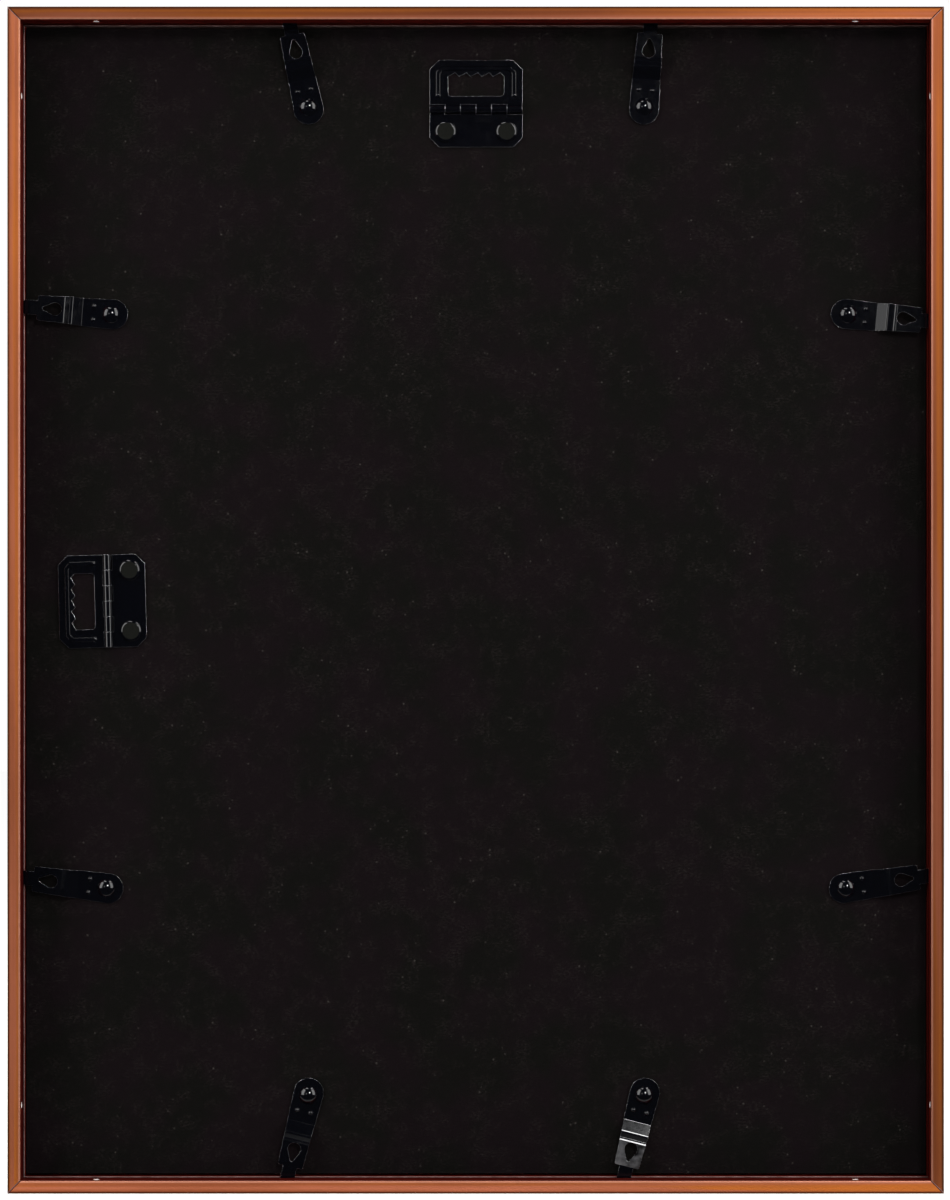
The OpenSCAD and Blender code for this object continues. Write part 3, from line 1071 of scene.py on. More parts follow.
    def finish_of(self, face: bpy.types.MeshPolygon, length: float) -> RailFinish:
        """Tells the finish of a face from its place and its tilt.

        Args:
            face: The face, on the bench.
            length: Length of the rail between its outer corners.

        Returns:
            The finish.
        """
        deep, wide, lip = self.opening.depth, self.opening.rail_w, self.groove_floor
        (x, y, z), normal = face.center, face.normal
        on_seam = near(abs(z), length / 2 - x, self.seam * self.seam_band_share)
        # Painted highlight on the side rails' sunk mitre faces, painted shade on the top and bottom
        # rails'.
        if on_seam and y > deep - self.seam_depth:
            if abs(normal.z) > self.tilted and normal.y > self.tilted:
                return RailFinish.RUBBED if length > self.opening.height else RailFinish.GROOVE
        # Painted highlight: a pale line along the groove's lower lip.
        if near(y, lip, self.lip_band) and x > wide - self.lip_highlight_w and normal.y > self.tilted:
            return RailFinish.RUBBED
        # Bare metal in the stake marks, its pale colour also a painted glint.
        mark_v, mark_w = self.stake_place(length)
        low, high = self.stake_band
        if wide - self.stake_deep - low < x < wide - high:
            if math.hypot(y - mark_v, abs(z) - mark_w) < self.stake_r:
                return RailFinish.STAKED
        if x <= self.skin - SLACK or not self.face_t - SLACK < y < deep - self.wall_depth:
            return RailFinish.BRUSHED
        # The groove and its lips are painted in shade.
        in_groove = lip - self.groove_band < y < lip + self.groove_h + self.groove_band
        if in_groove and x < wide - SLACK:
            return RailFinish.GROOVE
        upright = normal.y < self.level and x < wide + SLACK
        return RailFinish.WALL if upright or y < deep - self.rim_depth else RailFinish.BRUSHED

    def map_along(self, rail: Workpiece, length: float) -> None:
        """Lays the map along and round the rail, and numbers the finishes of its faces.

        Args:
            rail: The rail on the bench.
            length: Length of the rail between its outer corners.
        """
        data = rail.object.data
        for spare in list(data.uv_layers):
            data.uv_layers.remove(spare)
        layer = data.uv_layers.new(name="Along")
        for face in data.polygons:
            face.material_index = self.finish_of(face, length)
            for loop in face.loop_indices:
                corner = data.vertices[data.loops[loop].vertex_index].co
                layer.data[loop].uv = (corner.z * MM, (corner.x + corner.y) * MM)

    def start_at(self, rail: Workpiece, start: float) -> None:
        """Takes the rail from another stretch of the brushed bar, in metres along it.

        Args:
            rail: A copy of the rail, with its map.
            start: Where the stretch starts.
        """
        for corner in rail.object.data.uv_layers["Along"].data:
            corner.uv = (corner.uv[0] + start, corner.uv[1])

    def leave_lip_shaded(self, rail: Workpiece) -> None:
        """Takes the painted highlight line off the lower lip of a rail's groove, leaving it in the
        groove's painted shade.

        Args:
            rail: A copy of the rail on the bench.
        """
        for face in rail.object.data.polygons:
            below_rim = face.center.y < self.opening.depth - self.rim_depth
            if below_rim and face.material_index == RailFinish.RUBBED:
                face.material_index = RailFinish.GROOVE

    def paint_foot_highlight(self, rail: Workpiece) -> None:
        """Paints a highlight line on the wall between the groove and the board.

        Args:
            rail: A copy of the rail on the bench.
        """
        for face in rail.object.data.polygons:
            on_wall = near(face.center.x, self.opening.rail_w, self.foot_band)
            if on_wall and self.face_t < face.center.y < self.groove_floor:
                face.material_index = RailFinish.RUBBED

    def place(self, turn: float, out: float) -> Matrix:
        """Gives the matrix that takes a rail from the bench to its side of the frame.

        Args:
            turn: The side's turn in degrees about Y.
            out: From the middle to the rail's outer face.

        Returns:
            The matrix.
        """
        return (
            Matrix.Rotation(math.radians(turn), 4, "Y")
            @ Matrix.Translation((0, self.opening.front, -out))
            @ Matrix.Rotation(-math.pi / 2, 4, "Y")
        )

    def build(self, brushed: dict[str, Material], *finishes: Material) -> None:
        """Makes the four rails.

        Args:
            brushed: Finish of each side's rim and outer faces.
            finishes: The other finishes, in the order of RailFinish.
        """
        wide = self.opening.width + 2 * self.opening.rail_w
        high = self.opening.height + 2 * self.opening.rail_w
        for length, out, sides in (
            (wide, high / 2, {"bottom": 0, "top": 180}),
            (high, wide / 2, {"left": 90, "right": -90}),
        ):
            pattern = self.mitred(length)
            pattern.smooth(self.smooth_angle)
            for side, turn in sides.items():
                rail = pattern.copy(f"{side}_rail")
                self.start_at(rail, self.bar_starts[side])
                if side in self.shaded_lips:
                    self.leave_lip_shaded(rail)
                if side == self.highlit_foot:
                    self.paint_foot_highlight(rail)
                rail.place(self.place(turn, out))
                rail.deliver(
                    "frame", "copper_aluminium", [f"rail_{side}"], brushed[side], *finishes
                )
            pattern.scrap()


@dataclass(frozen=True)
class RivetBody:
    """What every rivet has in and under the board: a spread tail and a shank."""

    radius: float = 1.5
    tail_r: float = 2.55
    tail_t: float = 0.6
    board_t: float = 3.0
    tail_edge: float = 0.15
    head_edge: float = 0.12
    sides: int = 64
    smooth_angle: float = 50.0

    def turn(self, name: str, seat: float, head_r: float, head: list[Pair]) -> Workpiece:
        """Turns a rivet.

        Args:
            name: Name of the object.
            seat: Height of the head's underside over the board.
            head_r: Radius of the head.
            head: Radius and height of each ring of the head, from its rim upwards.

        Returns:
            The rivet on the bench, with the board's rear face on Z = 0.
        """
        low = -self.board_t
        body = [
            (self.tail_r - self.tail_edge, low), (self.tail_r, low + self.tail_edge),
            (self.tail_r, low + self.tail_t), (self.radius, low + self.tail_t),
            (self.radius, seat), (head_r - self.head_edge, seat),
        ]
        return Workpiece.turned(name, body + head, self.sides)


@dataclass
class TurnClips:
    """Eight stamped turn clips, each on a domed rivet."""

    opening: Opening
    rivet_body: RivetBody = RivetBody()
    reach: float = 26.8
    thick: float = 0.6
    pad_w: float = 9.2
    plate_w: float = 7.7
    tongue_w: float = 4.4
    tongue_l: float = 4.4
    tail: float = 5.4
    ramp_start: float = 8.9
    ramp_run: float = 3.2
    rise: float = 2.86
    crease_w: float = 2.6
    crease_low: float = 1.93
    crease_deep: float = 0.5
    tip_r: float = 0.7
    tip_steps: int = 4
    shoulder_r: float = 0.45
    shoulder_steps: int = 3
    tail_steps: int = 14
    tail_slack: float = 0.03
    tongue_clear: float = 0.1
    bend_w: float = 0.36
    bend_steps: int = 4
    strip_merge: float = 0.08
    edge_r: float = 0.25
    pear_gap: float = 0.1
    pear_l: float = 6.0
    pear_r: float = 2.05
    pear_tip_r: float = 0.615
    pear_tip_sides: int = 32
    hole_r: float = 1.56
    gap: float = 0.1
    head_r: float = 2.8
    head_h: float = 1.3
    head_steps: int = 10
    pip_at: float = 5.24
    pip_side: float = 2.12
    pip_r: float = 0.8
    pip_h: float = 0.5
    pale_plate_clip: str = "bottom_left"
    pale_inset: float = 0.2
    pale_level: float = 0.97
    places: dict[str, Triple] = field(default_factory=lambda: {
        "top_left": (-52.2, 153.5, 94.4),
        "top_right": (52.2, 153.5, 77.7),
        "bottom_left": (-52.2, -153.5, 284.4),
        "bottom_right": (52.2, -153.5, 284.0),
        "left_upper": (-115.65, 89.1, 185.5),
        "left_lower": (-115.0, -89.1, 171.0),
        "right_upper": (113.56, 89.1, 4.4),
        "right_lower": (115.0, -89.1, 7.7),
    })

    @property
    def shoulder(self) -> float:
        """Distance from the rivet to the shoulders of the tongue."""
        return self.reach - self.tongue_l

    @property
    def plate_start(self) -> float:
        """Distance from the rivet to the flat plate behind the crease."""
        return self.ramp_start + self.ramp_run + self.crease_w

    def half_width(self, x: float) -> float:
        """Half the width of the tapered plate at a distance from the rivet."""
        return (self.pad_w + (self.plate_w - self.pad_w) * x / self.shoulder) / 2

    def flat_pad(self) -> Workpiece:
        """Lays out the pad round the rivet, in two halves that meet under it.

        Returns:
            The sheet, its underside on Z = 0.
        """
        middle = ((self.ramp_start - self.tail) / 2, 0, 0)
        sheet = Workpiece("strip", bpy.ops.mesh.primitive_plane_add, size=1, location=middle)
        with sheet.edit():
            bpy.ops.mesh.select_all(action="SELECT")
            sheet.resize((self.ramp_start + self.tail, self.pad_w, 1), middle)
            sheet.cut((0, 0, 0), (1, 0, 0))
        return sheet

    def strip(self) -> Workpiece:
        """Draws the bent strip out from the pad, as a sheet without thickness.

        Returns:
            The sheet, its underside on Z = 0 at the rivet.
        """
        half, half_tongue = self.pad_w / 2, self.tongue_w / 2
        ramp_top = self.ramp_start + self.ramp_run
        bends = [
            (self.ramp_start, 0.0), (ramp_top, self.rise),
            (ramp_top + self.crease_low, self.rise - self.crease_deep),
            (self.plate_start, self.rise),
        ]
        sheet = self.flat_pad()
        with sheet.edit():
            sheet.pick(Kind.EDGES, lambda p: near(p.x, self.ramp_start))
            sheet.resize((1, self.half_width(self.ramp_start) / half, 1))
            at = bends[0]
            for stop in bends[1:] + [(self.shoulder, self.rise)]:
                sheet.extrude((stop[0] - at[0], 0, stop[1] - at[1]))
                sheet.resize((1, self.half_width(stop[0]) / self.half_width(at[0]), 1))
                at = stop
            bpy.ops.mesh.subdivide(number_cuts=2)
            third = self.half_width(self.shoulder) / 3
            sheet.pick(
                Kind.CORNERS, lambda p: near(p.x, self.shoulder) and abs(p.y) < third + SLACK
            )
            sheet.resize((1, half_tongue / third, 1))
            sheet.pick(
                Kind.EDGES, lambda p: near(p.x, self.shoulder) and abs(p.y) < half_tongue + SLACK
            )
            sheet.extrude((self.tongue_l, 0, 0))
            for width, steps, test in (
                (self.tip_r, self.tip_steps, lambda p: near(p.x, self.reach)),
                (self.shoulder_r, self.shoulder_steps,
                 lambda p: near(p.x, self.shoulder) and abs(p.y) > half_tongue + self.tongue_clear),
                (half - self.tail_slack, self.tail_steps, lambda p: near(p.x, -self.tail)),
            ):
                sheet.pick(Kind.CORNERS, test)
                sheet.bevel(width, steps, corners=True)
            for x, _ in bends:
                sheet.pick(Kind.EDGES, lambda p, x=x: near(p.x, x))
                sheet.bevel(self.bend_w, self.bend_steps)
            sheet.face_outwards(self.strip_merge)
        self.lay_face_up(sheet)
        return sheet

    @staticmethod
    def lay_face_up(sheet: Workpiece) -> None:
        """Turns a flat sheet's faces over if they look down.

        Args:
            sheet: The sheet.
        """
        if sum(face.normal.z for face in sheet.object.data.polygons) < 0:
            with sheet.edit():
                bpy.ops.mesh.select_all(action="SELECT")
                bpy.ops.mesh.flip_normals()

    def pear_cutter(self) -> Workpiece:
        """Shapes the punch of the pear-shaped hole.

        Returns:
            A pin that is round at one end and drawn in to a blunt tip at the other.
        """
        start = self.plate_start + self.pear_gap
        tip = start + self.pear_l - self.pear_tip_r
        punch = Workpiece.pin(self.pear_r, (start + self.pear_r, 0, self.rise))
        with punch.edit():
            bpy.ops.mesh.primitive_cylinder_add(
                vertices=self.pear_tip_sides, radius=self.pear_tip_r, depth=PUNCH_L,
                location=(tip, 0, self.rise),
            )
            bpy.ops.mesh.select_all(action="SELECT")
            bpy.ops.mesh.convex_hull()
            punch.face_outwards()
        return punch

    def pattern(self) -> Workpiece:
        """Makes the one clip that the eight are copied from.

        Returns:
            The clip on the bench, with its rounded edges, holes and pips.
        """
        clip = self.strip()
        clip.modifier("SOLIDIFY", thickness=self.thick, offset=1, use_even_offset=True)
        clip.join(Workpiece.pin(self.hole_r), Join.TAKE)
        clip.join(self.pear_cutter(), Join.TAKE)
        clip.round_edges(self.edge_r)
        clip.raise_pips((self.pip_at, self.pip_side, self.thick), self.pip_r, self.pip_h)
        clip.smooth()
        return clip

    def rivet(self) -> Workpiece:
        """Turns the clip's rivet with its button head.

        Returns:
            The rivet on the bench, with the board's rear face on Z = 0.
        """
        seat = self.thick + 2 * self.gap
        button = dome_rings(self.head_r, self.head_h, self.head_steps, 0)[1:]
        head = [(radius, height + seat) for radius, height in button]
        rivet = self.rivet_body.turn("rivet", seat, self.head_r, head)
        rivet.smooth(self.rivet_body.smooth_angle)
        return rivet

    def lighten_plate(self, clip: Workpiece) -> None:
        """Gives the raised plate's upper face the third finish, on the bench.

        Args:
            clip: The clip.
        """
        for face in clip.object.data.polygons:
            on_plate = self.plate_start + self.pale_inset < face.center.x < self.shoulder
            if on_plate and face.normal.z > self.pale_level:
                face.material_index = 2

    def build(self, steel: Material, edge: Material, pale_plate: Material, head: Material) -> None:
        """Makes the eight clips and their rivets.

        Args:
            steel: Finish of the clips.
            edge: Finish of their rounded edges: pale metal as a painted edge highlight.
            pale_plate: Finish of the lighter raised plate of one clip.
            head: Finish of the rivets.
        """
        clip_pattern, rivet_pattern = self.pattern(), self.rivet()
        for name, (x, z, heading) in self.places.items():
            stand = self.opening.on_board(x, z, heading)
            clip = clip_pattern.copy(f"{name}_turn_clip")
            if name == self.pale_plate_clip:
                self.lighten_plate(clip)
            clip.place(stand @ Matrix.Translation((0, 0, self.gap)))
            clip.deliver(
                f"clip_{name}", "black_spring_steel", [f"clip_{name}"], steel, edge, pale_plate
            )
            rivet = rivet_pattern.copy(f"{name}_rivet")
            rivet.place(stand)
            rivet.deliver("frame", "black_rivet", [f"clip_rivet_{name}"], head)
        for pattern in (clip_pattern, rivet_pattern):
            pattern.scrap()


@dataclass
class Hangers:
    """Two hinged hangers: base leaf, loop leaf with a toothed slot, pin and rivets."""

    opening: Opening
    rivet_body: RivetBody = RivetBody()
    width: float = 28.8
    loop_l: float = 15.3
    base_l: float = 11.7
    thick: float = 0.65
    corner: float = 2.9
    edge_r: float = 0.24
    edge_angle: float = 45.0
    barrel_r: float = 1.3
    gap: float = 0.1
    knuckles: int = 6
    knuckle_gap: float = 0.12
    leaf_start: float = 1.56
    curl: float = 290.0
    curl_steps: int = 18
    slot_l: float = 17.4
    slot_w: float = 6.1
    slot_at: float = 4.1
    slot_r: float = 1.525
    slot_steps: int = 6
    teeth: int = 5
    tooth_pitch: float = 3.5
    tooth_deep: float = 1.2
    tooth_share: float = 0.35
    rib_inset: float = 2.6
    rib_w: float = 1.4
    rib_h: float = 0.325
    rib_r: float = 0.3
    rib_steps: int = 4
    rib_sunk: float = 0.2
    rib_start: float = 4.45
    pip_r: float = 0.88
    pip_h: float = 0.39
    rivet_pitch: float = 18.9
    rivet_at: float = 6.9
    hole_r: float = 1.55
    head_r: float = 3.3
    head_h: float = 0.95
    disc_r: float = 2.6
    disc_dip: float = 0.02
    tip_r: float = 0.05
    disc_band: float = 0.05
    level: float = 0.9
    rim_rings: tuple[Pair, ...] = ((0, 0.62), (0.06, 0.44), (0.22, 0.27), (0.46, 0.13))
    disc_rings: tuple[Pair, ...] = ((-0.04, 0.04), (0, 0.02), (0.2, 0))
    places: dict[str, Triple] = field(default_factory=lambda: {
        "upper": (0.0, 152.7, 90.0),
        "side": (114.3, 0.0, -1.5),
    })

    @property
    def axis_h(self) -> float:
        """Height of the hinge line over the board."""
        return self.barrel_r + self.gap

    def outline(self, name: str, inset: float, start: float, length: float,
                low: float, high: float) -> Workpiece:
        """Makes a plate with the leaf's two cut corners, drawn in all round by an inset.

        Args:
            name: Name of the object.
            inset: How far it is drawn in.
            start: Where it starts from the hinge line.
            length: Length of the leaf from the hinge line.
            low: Its lower face.
            high: Its upper face.

        Returns:
            The plate.
        """
        far, half = length - inset, self.width / 2 - inset
        plate = Workpiece.block(name, (start, -half, low), (far, half, high))
        cut = self.corner - inset * (2 - math.sqrt(2))
        with plate.edit():
            for side in (-1, 1):
                plate.cut((far - cut, side * half, 0), (1, side, 0), drop_outer=True)
        return plate

    def leaf(self, length: float, low: float) -> Workpiece:
        """Makes a leaf with three curled knuckles.

        Args:
            length: Length of the leaf from the hinge line.
            low: Height of its lower face.

        Returns:
            The leaf, its edges still sharp.
        """
        plate = self.outline("leaf", 0, self.leaf_start, length, low, low + self.thick)
        pitch = self.width / self.knuckles
        spans = [
            (i * pitch - self.width / 2 + self.knuckle_gap / 2,
             (i + 1) * pitch - self.width / 2 - self.knuckle_gap / 2)
            for i in range(0, self.knuckles, 2)
        ]
        with plate.edit():
            for y in [edge for span in spans for edge in span]:
                plate.cut((0, y, 0), (0, 1, 0))
            plate.pick(
                Kind.FACES,
                lambda p: near(p.x, self.leaf_start) and any(a < p.y < b for a, b in spans),
                by_middle=True,
            )
            plate.extrude((-self.leaf_start, 0, self.gap - low))
            bpy.ops.mesh.spin(
                steps=self.curl_steps, angle=math.radians(self.curl),
                center=(0, 0, self.axis_h), axis=(0, 1, 0),
            )
            plate.face_outwards()
        return plate

    def slot_cutter(self) -> Workpiece:
        """Shapes the punch of the slot, with the notches of its outer edge.

        Returns:
            The punch.
        """
        low, high, half = self.slot_at, self.slot_at + self.slot_w, self.slot_l / 2
        punch = Workpiece.block("slot", (low, -half, -OVERRUN), (high, half, PUNCH_L - OVERRUN))
        first = -self.teeth * self.tooth_pitch / 2
        roots = [first + i * self.tooth_pitch for i in range(self.teeth + 1)]
        tips = [root + self.tooth_pitch * self.tooth_share for root in roots[:-1]]
        with punch.edit():
            for y in sorted(roots[1:-1] + tips):
                punch.cut((0, y, 0), (0, 1, 0))
            punch.pick(
                Kind.CORNERS, lambda p: near(p.x, high) and any(near(p.y, tip) for tip in tips)
            )
            punch.move((self.tooth_deep, 0, 0))
            punch.pick(Kind.EDGES, lambda p: near(p.x, low) and near(abs(p.y), half))
            punch.keep_edges_along_z()
            punch.bevel(self.slot_r, self.slot_steps)
            punch.face_outwards()
        return punch

    def rib(self) -> Workpiece:
        """Shapes the raised rib that runs round three sides of the loop leaf.

        Returns:
            The rib, sunk a little into the leaf.
        """
        top, half = self.gap + self.thick, self.rib_w / 2
        bar = self.outline(
            "rib", self.rib_inset - half, self.rib_start, self.loop_l, top - self.rib_sunk,
            top + self.rib_h,
        )
        inner = self.outline(
            "inner", self.rib_inset + half, self.rib_start - OVERRUN, self.loop_l,
            top - OVERRUN, top + OVERRUN,
        )
        bar.join(inner, Join.TAKE)
        with bar.edit():
            bar.pick(Kind.EDGES, lambda p: near(p.z, top + self.rib_h))
            bar.bevel(self.rib_r, self.rib_steps)
            bar.face_outwards()
        return bar

    def loop(self) -> Workpiece:
        """Makes the loop leaf.

        Returns:
            The leaf with its slot, rib and two pips.
        """
        leaf = self.leaf(self.loop_l, self.gap)
        leaf.join(self.slot_cutter(), Join.TAKE)
        leaf.round_edges(self.edge_r, self.edge_angle)
        leaf.join(self.rib(), Join.ADD)
        seat = (self.rib_start, self.width / 2 - self.rib_inset, self.gap + self.thick)
        leaf.raise_pips(seat, self.pip_r, self.pip_h)
        leaf.smooth()
        return leaf

    def base(self) -> Workpiece:
        """Makes the base leaf.

        Returns:
            The leaf with its two rivet holes.
        """
        leaf = self.leaf(self.base_l, 0)
        for side in (-1, 1):
            hole = Workpiece.pin(self.hole_r, (self.rivet_at, side * self.rivet_pitch / 2, 0))
            leaf.join(hole, Join.TAKE)
        leaf.round_edges(self.edge_r, self.edge_angle)
        leaf.smooth()
        return leaf

    def rivets(self) -> Workpiece:
        """Makes the base leaf's two rivets as one piece.

        Returns:
            The rivets on the bench, in the loop's own frame.
        """
        top = self.thick + self.head_h
        head = [(self.head_r, self.thick + self.rivet_body.head_edge)]
        head += [(self.head_r - inwards, top - down) for inwards, down in self.rim_rings]
        head += [(self.disc_r - inwards, top - down) for inwards, down in self.disc_rings]
        head += [
            (self.disc_r / 2, top), (self.disc_r / 4, top - self.disc_dip),
            (self.tip_r, top - self.disc_dip),
        ]
        first = self.rivet_body.turn("rivets", self.thick, self.head_r, head)
        second = first.copy("second")
        first.place_on_bench((-self.rivet_at, -self.rivet_pitch / 2, 0))
        second.place_on_bench((-self.rivet_at, self.rivet_pitch / 2, 0))
        first.take_up()
        second.object.select_set(True)
        bpy.ops.object.join()
        first.smooth(self.rivet_body.smooth_angle)
        first.make_slots(2)
        for face in first.object.data.polygons:
            on_disc = face.normal.z > self.level and face.center.z > top - self.disc_band
            face.material_index = int(on_disc)
        return first

    def build(self, steel: Material, edge: Material, disc: Material) -> None:
        """Makes both hangers.

        Args:
            steel: Finish of the leaves and of the rivets' rims.
            edge: Finish of the leaves' rounded edges: pale metal as a painted edge highlight.
            disc: Finish of the rivets' flat tops.
        """
        patterns = {"loop": self.loop(), "base": self.base(), "rivets": self.rivets()}
        for name, (x, z, heading) in self.places.items():
            stand = self.opening.on_board(x, z, heading)
            away = self.opening.on_board(x, z, heading + 180)
            for part, body, slot, matrix, finishes in (
                ("loop", f"loop_{name}", "black_steel", stand, [steel, edge]),
                ("base", "frame", "black_steel", away, [steel, edge]),
                ("rivets", "frame", "black_rivet", stand, [steel, disc]),
            ):
                piece = patterns[part].copy(f"{name}_hanger_{part}")
                piece.place(matrix)
                piece.deliver(body, slot, [f"hanger_{part}_{name}"], *finishes)
        for pattern in patterns.values():
            pattern.scrap()


@dataclass
class Glazing:
    """The clear sheet with its arrissed edges, a hair clear of the mat and of the front lip."""

    width: float = 279.4
    height: float = 355.6
    front: float = -8.83
    back: float = -6.90
    arris: float = 0.25
    arris_steps: int = 2

    def build(self, clear: Material) -> None:
        """Makes the sheet.

        Args:
            clear: Its finish.
        """
        x, z = self.width / 2, self.height / 2
        sheet = Workpiece.block("glazing", (-x, self.front, -z), (x, self.back, z))
        with sheet.edit():
            sheet.pick(Kind.EDGES, lambda p: True)
            sheet.bevel(self.arris, self.arris_steps)
            sheet.face_outwards()
        sheet.smooth()
        sheet.place(Matrix.Identity(4))
        sheet.deliver("frame", "glazing", ["glazing_sheet"], clear)


@dataclass
class KeptSolids:
    """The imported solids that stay, with finer materials on them."""

    corners: tuple[str, ...] = ("top_left", "top_right", "bottom_left", "bottom_right")
    hangers: tuple[str, ...] = ("upper", "side")

    @staticmethod
    def dress(finish: Material, *nodes: str) -> None:
        """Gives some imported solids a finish.

        Args:
            finish: Their material.
            nodes: Names of the solids.
        """
        for name in nodes:
            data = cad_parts[name].data
            data.materials.clear()
            data.materials.append(finish)
            LOG.info("%s: packed solid with %s", name, finish.name)

    def build(self, board: Material, mat: Material, paper: Material, zinc: Material,
              pin: Material) -> None:
        """Dresses all of them.

        Args:
            board: Finish of the backing board.
            mat: Finish of the window mat.
            paper: Finish of the print.
            zinc: Finish of the corner keys.
            pin: Finish of the hinge pins.
        """
        self.dress(board, "backing_board")
        self.dress(mat, "window_mat")
        self.dress(paper, "print_sheet")
        self.dress(zinc, *(f"corner_key_{corner}" for corner in self.corners))
        self.dress(pin, *(f"hanger_pin_{hanger}" for hanger in self.hangers))


@dataclass
class Studio:
    """Camera, soft lights, pale floor and white surroundings. Lengths in metres."""

    camera_at: Triple = (-0.0125, 1.11025, -0.0288)
    lens: float = 107.39
    sensor: float = 36.0
    shift: Pair = (-0.03446, 0.07819)
    clip: Pair = (0.05, 50)
    floor_z: float = -0.1825
    floor_size: float = 12.0
    floor_tone: float = 0.86
    floor_roughness: float = 0.8
    floor_glow: float = 0.70
    floor_fade: Pair = (0.012, 0.03)
    ambient: float = 0.30
    room_glow: float = 0.025
    room_fade: Pair = (-0.80, -0.30)
    lamps: dict[str, tuple[Triple, Pair, float]] = field(default_factory=lambda: {
        "key_left": ((1.08, 0.70, 0.50), (0.70, 1.30), 14.0),
        "low_left": ((1.16, 0.27, 0.40), (0.20, 0.36), 0.45),
        "key_right": ((-1.08, 0.70, 0.50), (0.70, 1.30), 14.0),
        "high_top": ((0.32, 0.47, 1.15), (0.50, 0.12), 2.2),
        "low_top_right": ((-0.66, 0.33, 1.15), (0.44, 0.30), 2.8),
        "rim_right": ((-0.51, 1.90, 0.77), (0.34, 0.40), 19.0),
        "rim_left": ((0.68, 1.90, 0.42), (0.30, 0.45), 1.3),
        "front_left": ((-0.75, -1.00, 0.65), (0.60, 0.60), 6.0),
        "front_right": ((0.80, -0.95, 0.45), (0.60, 0.60), 5.0),
    })

    def camera(self) -> None:
        """Sets the camera square to the frame's back, as in the photograph."""
        bpy.ops.object.select_all(action="DESELECT")
        bpy.ops.object.camera_add(location=self.camera_at, rotation=(math.pi / 2, 0, math.pi))
        camera = bpy.context.object
        camera.data.lens = self.lens
        camera.data.sensor_width = self.sensor
        camera.data.sensor_fit = "AUTO"
        camera.data.shift_x, camera.data.shift_y = self.shift
        camera.data.clip_start, camera.data.clip_end = self.clip
        bpy.context.scene.camera = camera

    def light(self) -> None:
        """Hangs the softboxes, which the camera doesn't see."""
        for name, (at, size, power) in self.lamps.items():
            aim = (-Vector(at)).to_track_quat("-Z", "Y").to_euler()
            bpy.ops.object.light_add(type="AREA", location=at, rotation=aim)
            lamp = bpy.context.object
            lamp.name = f"softbox_{name}"
            lamp.data.shape = "RECTANGLE"
            lamp.data.size, lamp.data.size_y = size
            lamp.data.energy = power
            lamp.visible_camera = False

    def fade(self, nodes: Nodes, kind: Place, limits: Pair) -> Socket:
        """Gives 1 on the far side of the object and the dim room's level on the camera's side.

        Args:
            nodes: The nodes that it is one of.
            kind: The coordinates whose Y is read.
            limits: Y where it starts and ends.

        Returns:
            The level.
        """
        place = nodes.add("TexCoord").outputs[kind.value]
        return nodes.span(nodes.across(place), limits, (1.0, self.room_glow))

    def surroundings(self) -> None:
        """Makes a white world with even fill light and a dim room behind the camera."""
        world = bpy.data.worlds.new("studio")
        bpy.context.scene.world = world
        world.use_nodes = True
        nodes = Nodes(world.node_tree)
        rays = nodes.add("LightPath").outputs
        far_side = self.fade(nodes, Place.SKY, self.room_fade)
        glossy = nodes.times(rays["Is Glossy Ray"], far_side)
        fill = nodes.times(rays["Is Diffuse Ray"], self.ambient)
        seen = nodes.math("MAXIMUM", rays["Is Camera Ray"], rays["Is Transmission Ray"])
        level = nodes.math("MAXIMUM", seen, nodes.math("MAXIMUM", glossy, fill))
        background = nodes.add("Background", Color=WHITE, Strength=level)
        nodes.add("OutputWorld", Surface=background.outputs["Background"])

    def floor(self) -> None:
        """Lays the pale floor under the bottom edge, as dim as the room in mirrors near it."""
        floor = Workpiece(
            "floor", bpy.ops.mesh.primitive_plane_add, size=self.floor_size,
            location=(0, 0, self.floor_z),
        )
        graph = Graph(
            "pale_floor", Roughness=self.floor_roughness, Specular_IOR_Level=0.0,
            Emission_Color=WHITE,
        )
        rays = graph.add("LightPath").outputs
        lift = graph.times(rays["Is Camera Ray"], self.floor_glow)
        graph.put(graph.shader.inputs["Emission Strength"], lift)
        far_side = self.fade(graph, Place.SOLID, self.floor_fade)
        mirrored = graph.times(far_side, rays["Is Glossy Ray"])
        direct = graph.math("SUBTRACT", rays["Is Glossy Ray"], 1.0)
        pale = graph.times(graph.math("SUBTRACT", mirrored, direct), self.floor_tone)
        tone = graph.add("CombineColor", Red=pale, Green=pale, Blue=pale)
        graph.put(graph.shader.inputs["Base Color"], tone.outputs["Color"])
        floor.object.data.materials.append(graph.material)

    def build(self) -> None:
        """Sets up the whole studio."""
        self.camera()
        self.light()
        self.surroundings()
        self.floor()
        bpy.context.scene.view_settings.view_transform = "Standard"


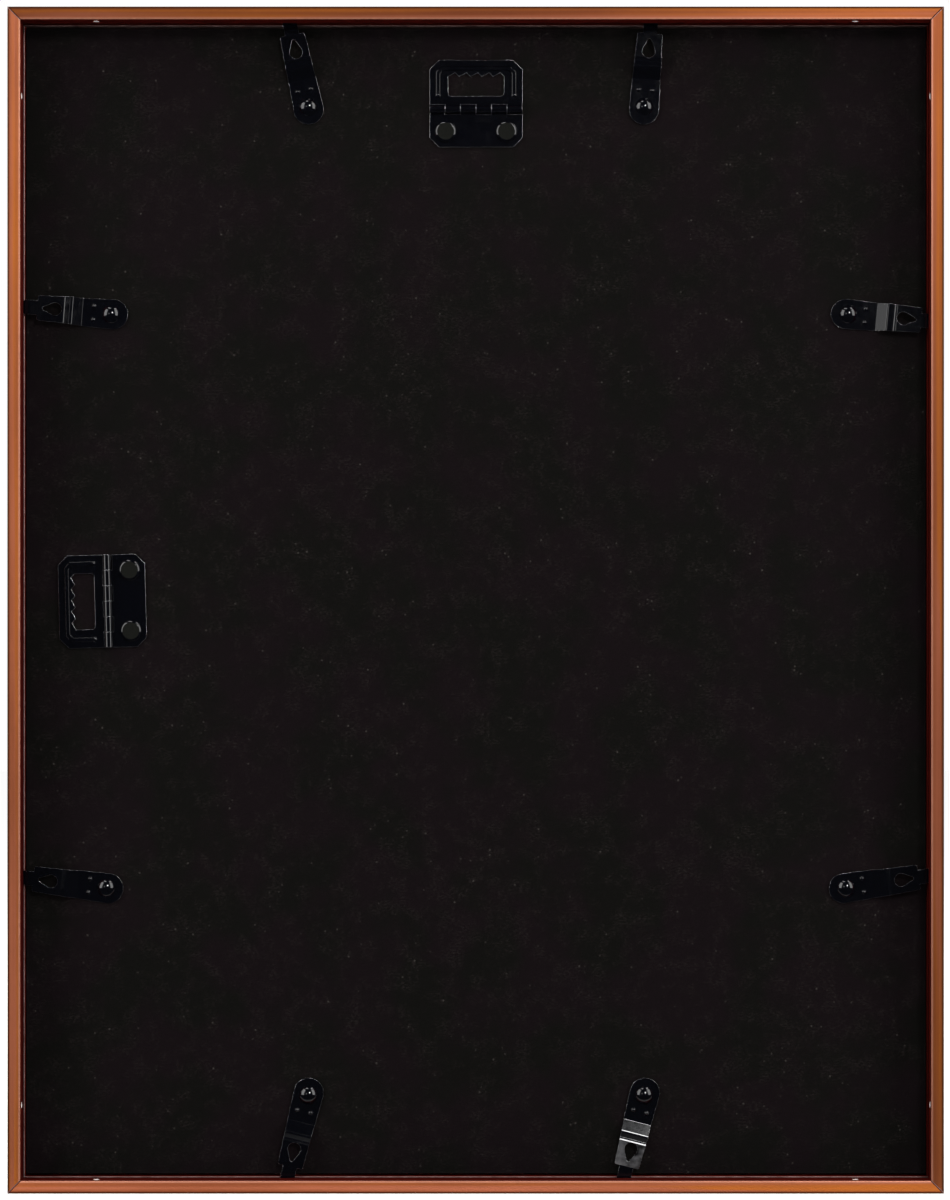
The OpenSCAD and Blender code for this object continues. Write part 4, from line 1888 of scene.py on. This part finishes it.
def build_rails(opening: Opening) -> None:
    """Makes the rails, each side's colour scaled lighter or darker as painted light and shade.

    Args:
        opening: The opening that they stand round or in.
    """
    # Painted light and shade: each rail's colours are scaled by how brightly its side is lit.
    painted_light_levels = {"top": 0.76, "bottom": 1.28, "left": 0.71, "right": 0.93}
    brushed = {
        side: BrushedCopper(f"copper_brushed_{side}", depth).make()
        for side, depth in painted_light_levels.items()
    }
    Rails(opening).build(
        brushed,
        # Painted shade: the inner walls darker than the rim.
        ShadedCopper().make(),
        # Painted highlight: a pale line on lips, mitre faces and the top rail's foot.
        PlainMetal(
            "copper_painted_highlight", (0.115, 0.058, 0.052), (0.245, 0.155, 0.145), (0.35, 0.50), 0.6
        ).make(),
        # Painted shade: a near-black copy of the inner wall for the groove.
        ShadedCopper("copper_groove_shade", (0.018, 0.0020, 0.0012), (0.032, 0.0040, 0.0022)).make(),
        # Bare metal in the stake marks, made pale enough to stand as a painted glint as well.
        PlainMetal(
            "staked_metal_glint", (0.62, 0.56, 0.53), (0.95, 0.92, 0.90), (0.25, 0.40), 0.4
        ).make(),
    )


def build_hardware(opening: Opening) -> None:
    """Makes the turn clips and the hangers, which share the gloss and its pale rounded edges, a
    painted edge highlight.

    Args:
        opening: The opening that they stand round or in.
    """
    gloss = BlackEnamel("black_gloss_enamel").make()
    # Painted highlight: pale metal on every rounded edge of the hardware.
    edge = PlainMetal(
        "enamel_edge_highlight", (0.50, 0.50, 0.52), (0.92, 0.92, 0.95), (0.30, 0.45)
    ).make()
    # A paler, mottled metal on the raised plate of one clip.
    pale_plate = PlainMetal(
        "pale_plate_metal", (0.005, 0.005, 0.006), (0.26, 0.26, 0.27), (0.30, 0.50)
    ).make()
    rivet = BlackEnamel(
        "black_rivet_enamel", roughness=(0.07, 0.12), waviness=0.01, specular=0.4
    ).make()
    matt = BlackEnamel(
        "black_matt_enamel", colour=(0.0050, 0.0052, 0.0044), roughness=(0.6, 0.75),
        waviness=0.05, specular=0.02,
    ).make()
    TurnClips(opening).build(gloss, edge, pale_plate, rivet)
    Hangers(opening).build(gloss, edge, matt)


def main() -> None:
    """Builds the pieces in order."""
    logging.basicConfig(level=logging.INFO, format="%(name)s: %(message)s")
    opening = Opening()
    build_rails(opening)
    build_hardware(opening)
    Glazing().build(ClearSheet().make())
    KeptSolids().build(
        BlackBoard().make(),
        Card("mat_card").make(),
        Card("print_paper", (0.86, 0.85, 0.82), (0.80, 0.79, 0.76), 0.12).make(),
        PlainMetal("zinc_steel", (0.42, 0.43, 0.45), (0.62, 0.63, 0.65)).make(),
        PlainMetal("pin_steel", (0.05, 0.05, 0.055), (0.12, 0.12, 0.125), (0.25, 0.4)).make(),
    )
    Studio().build()


if __name__ == "__main__":
    main()
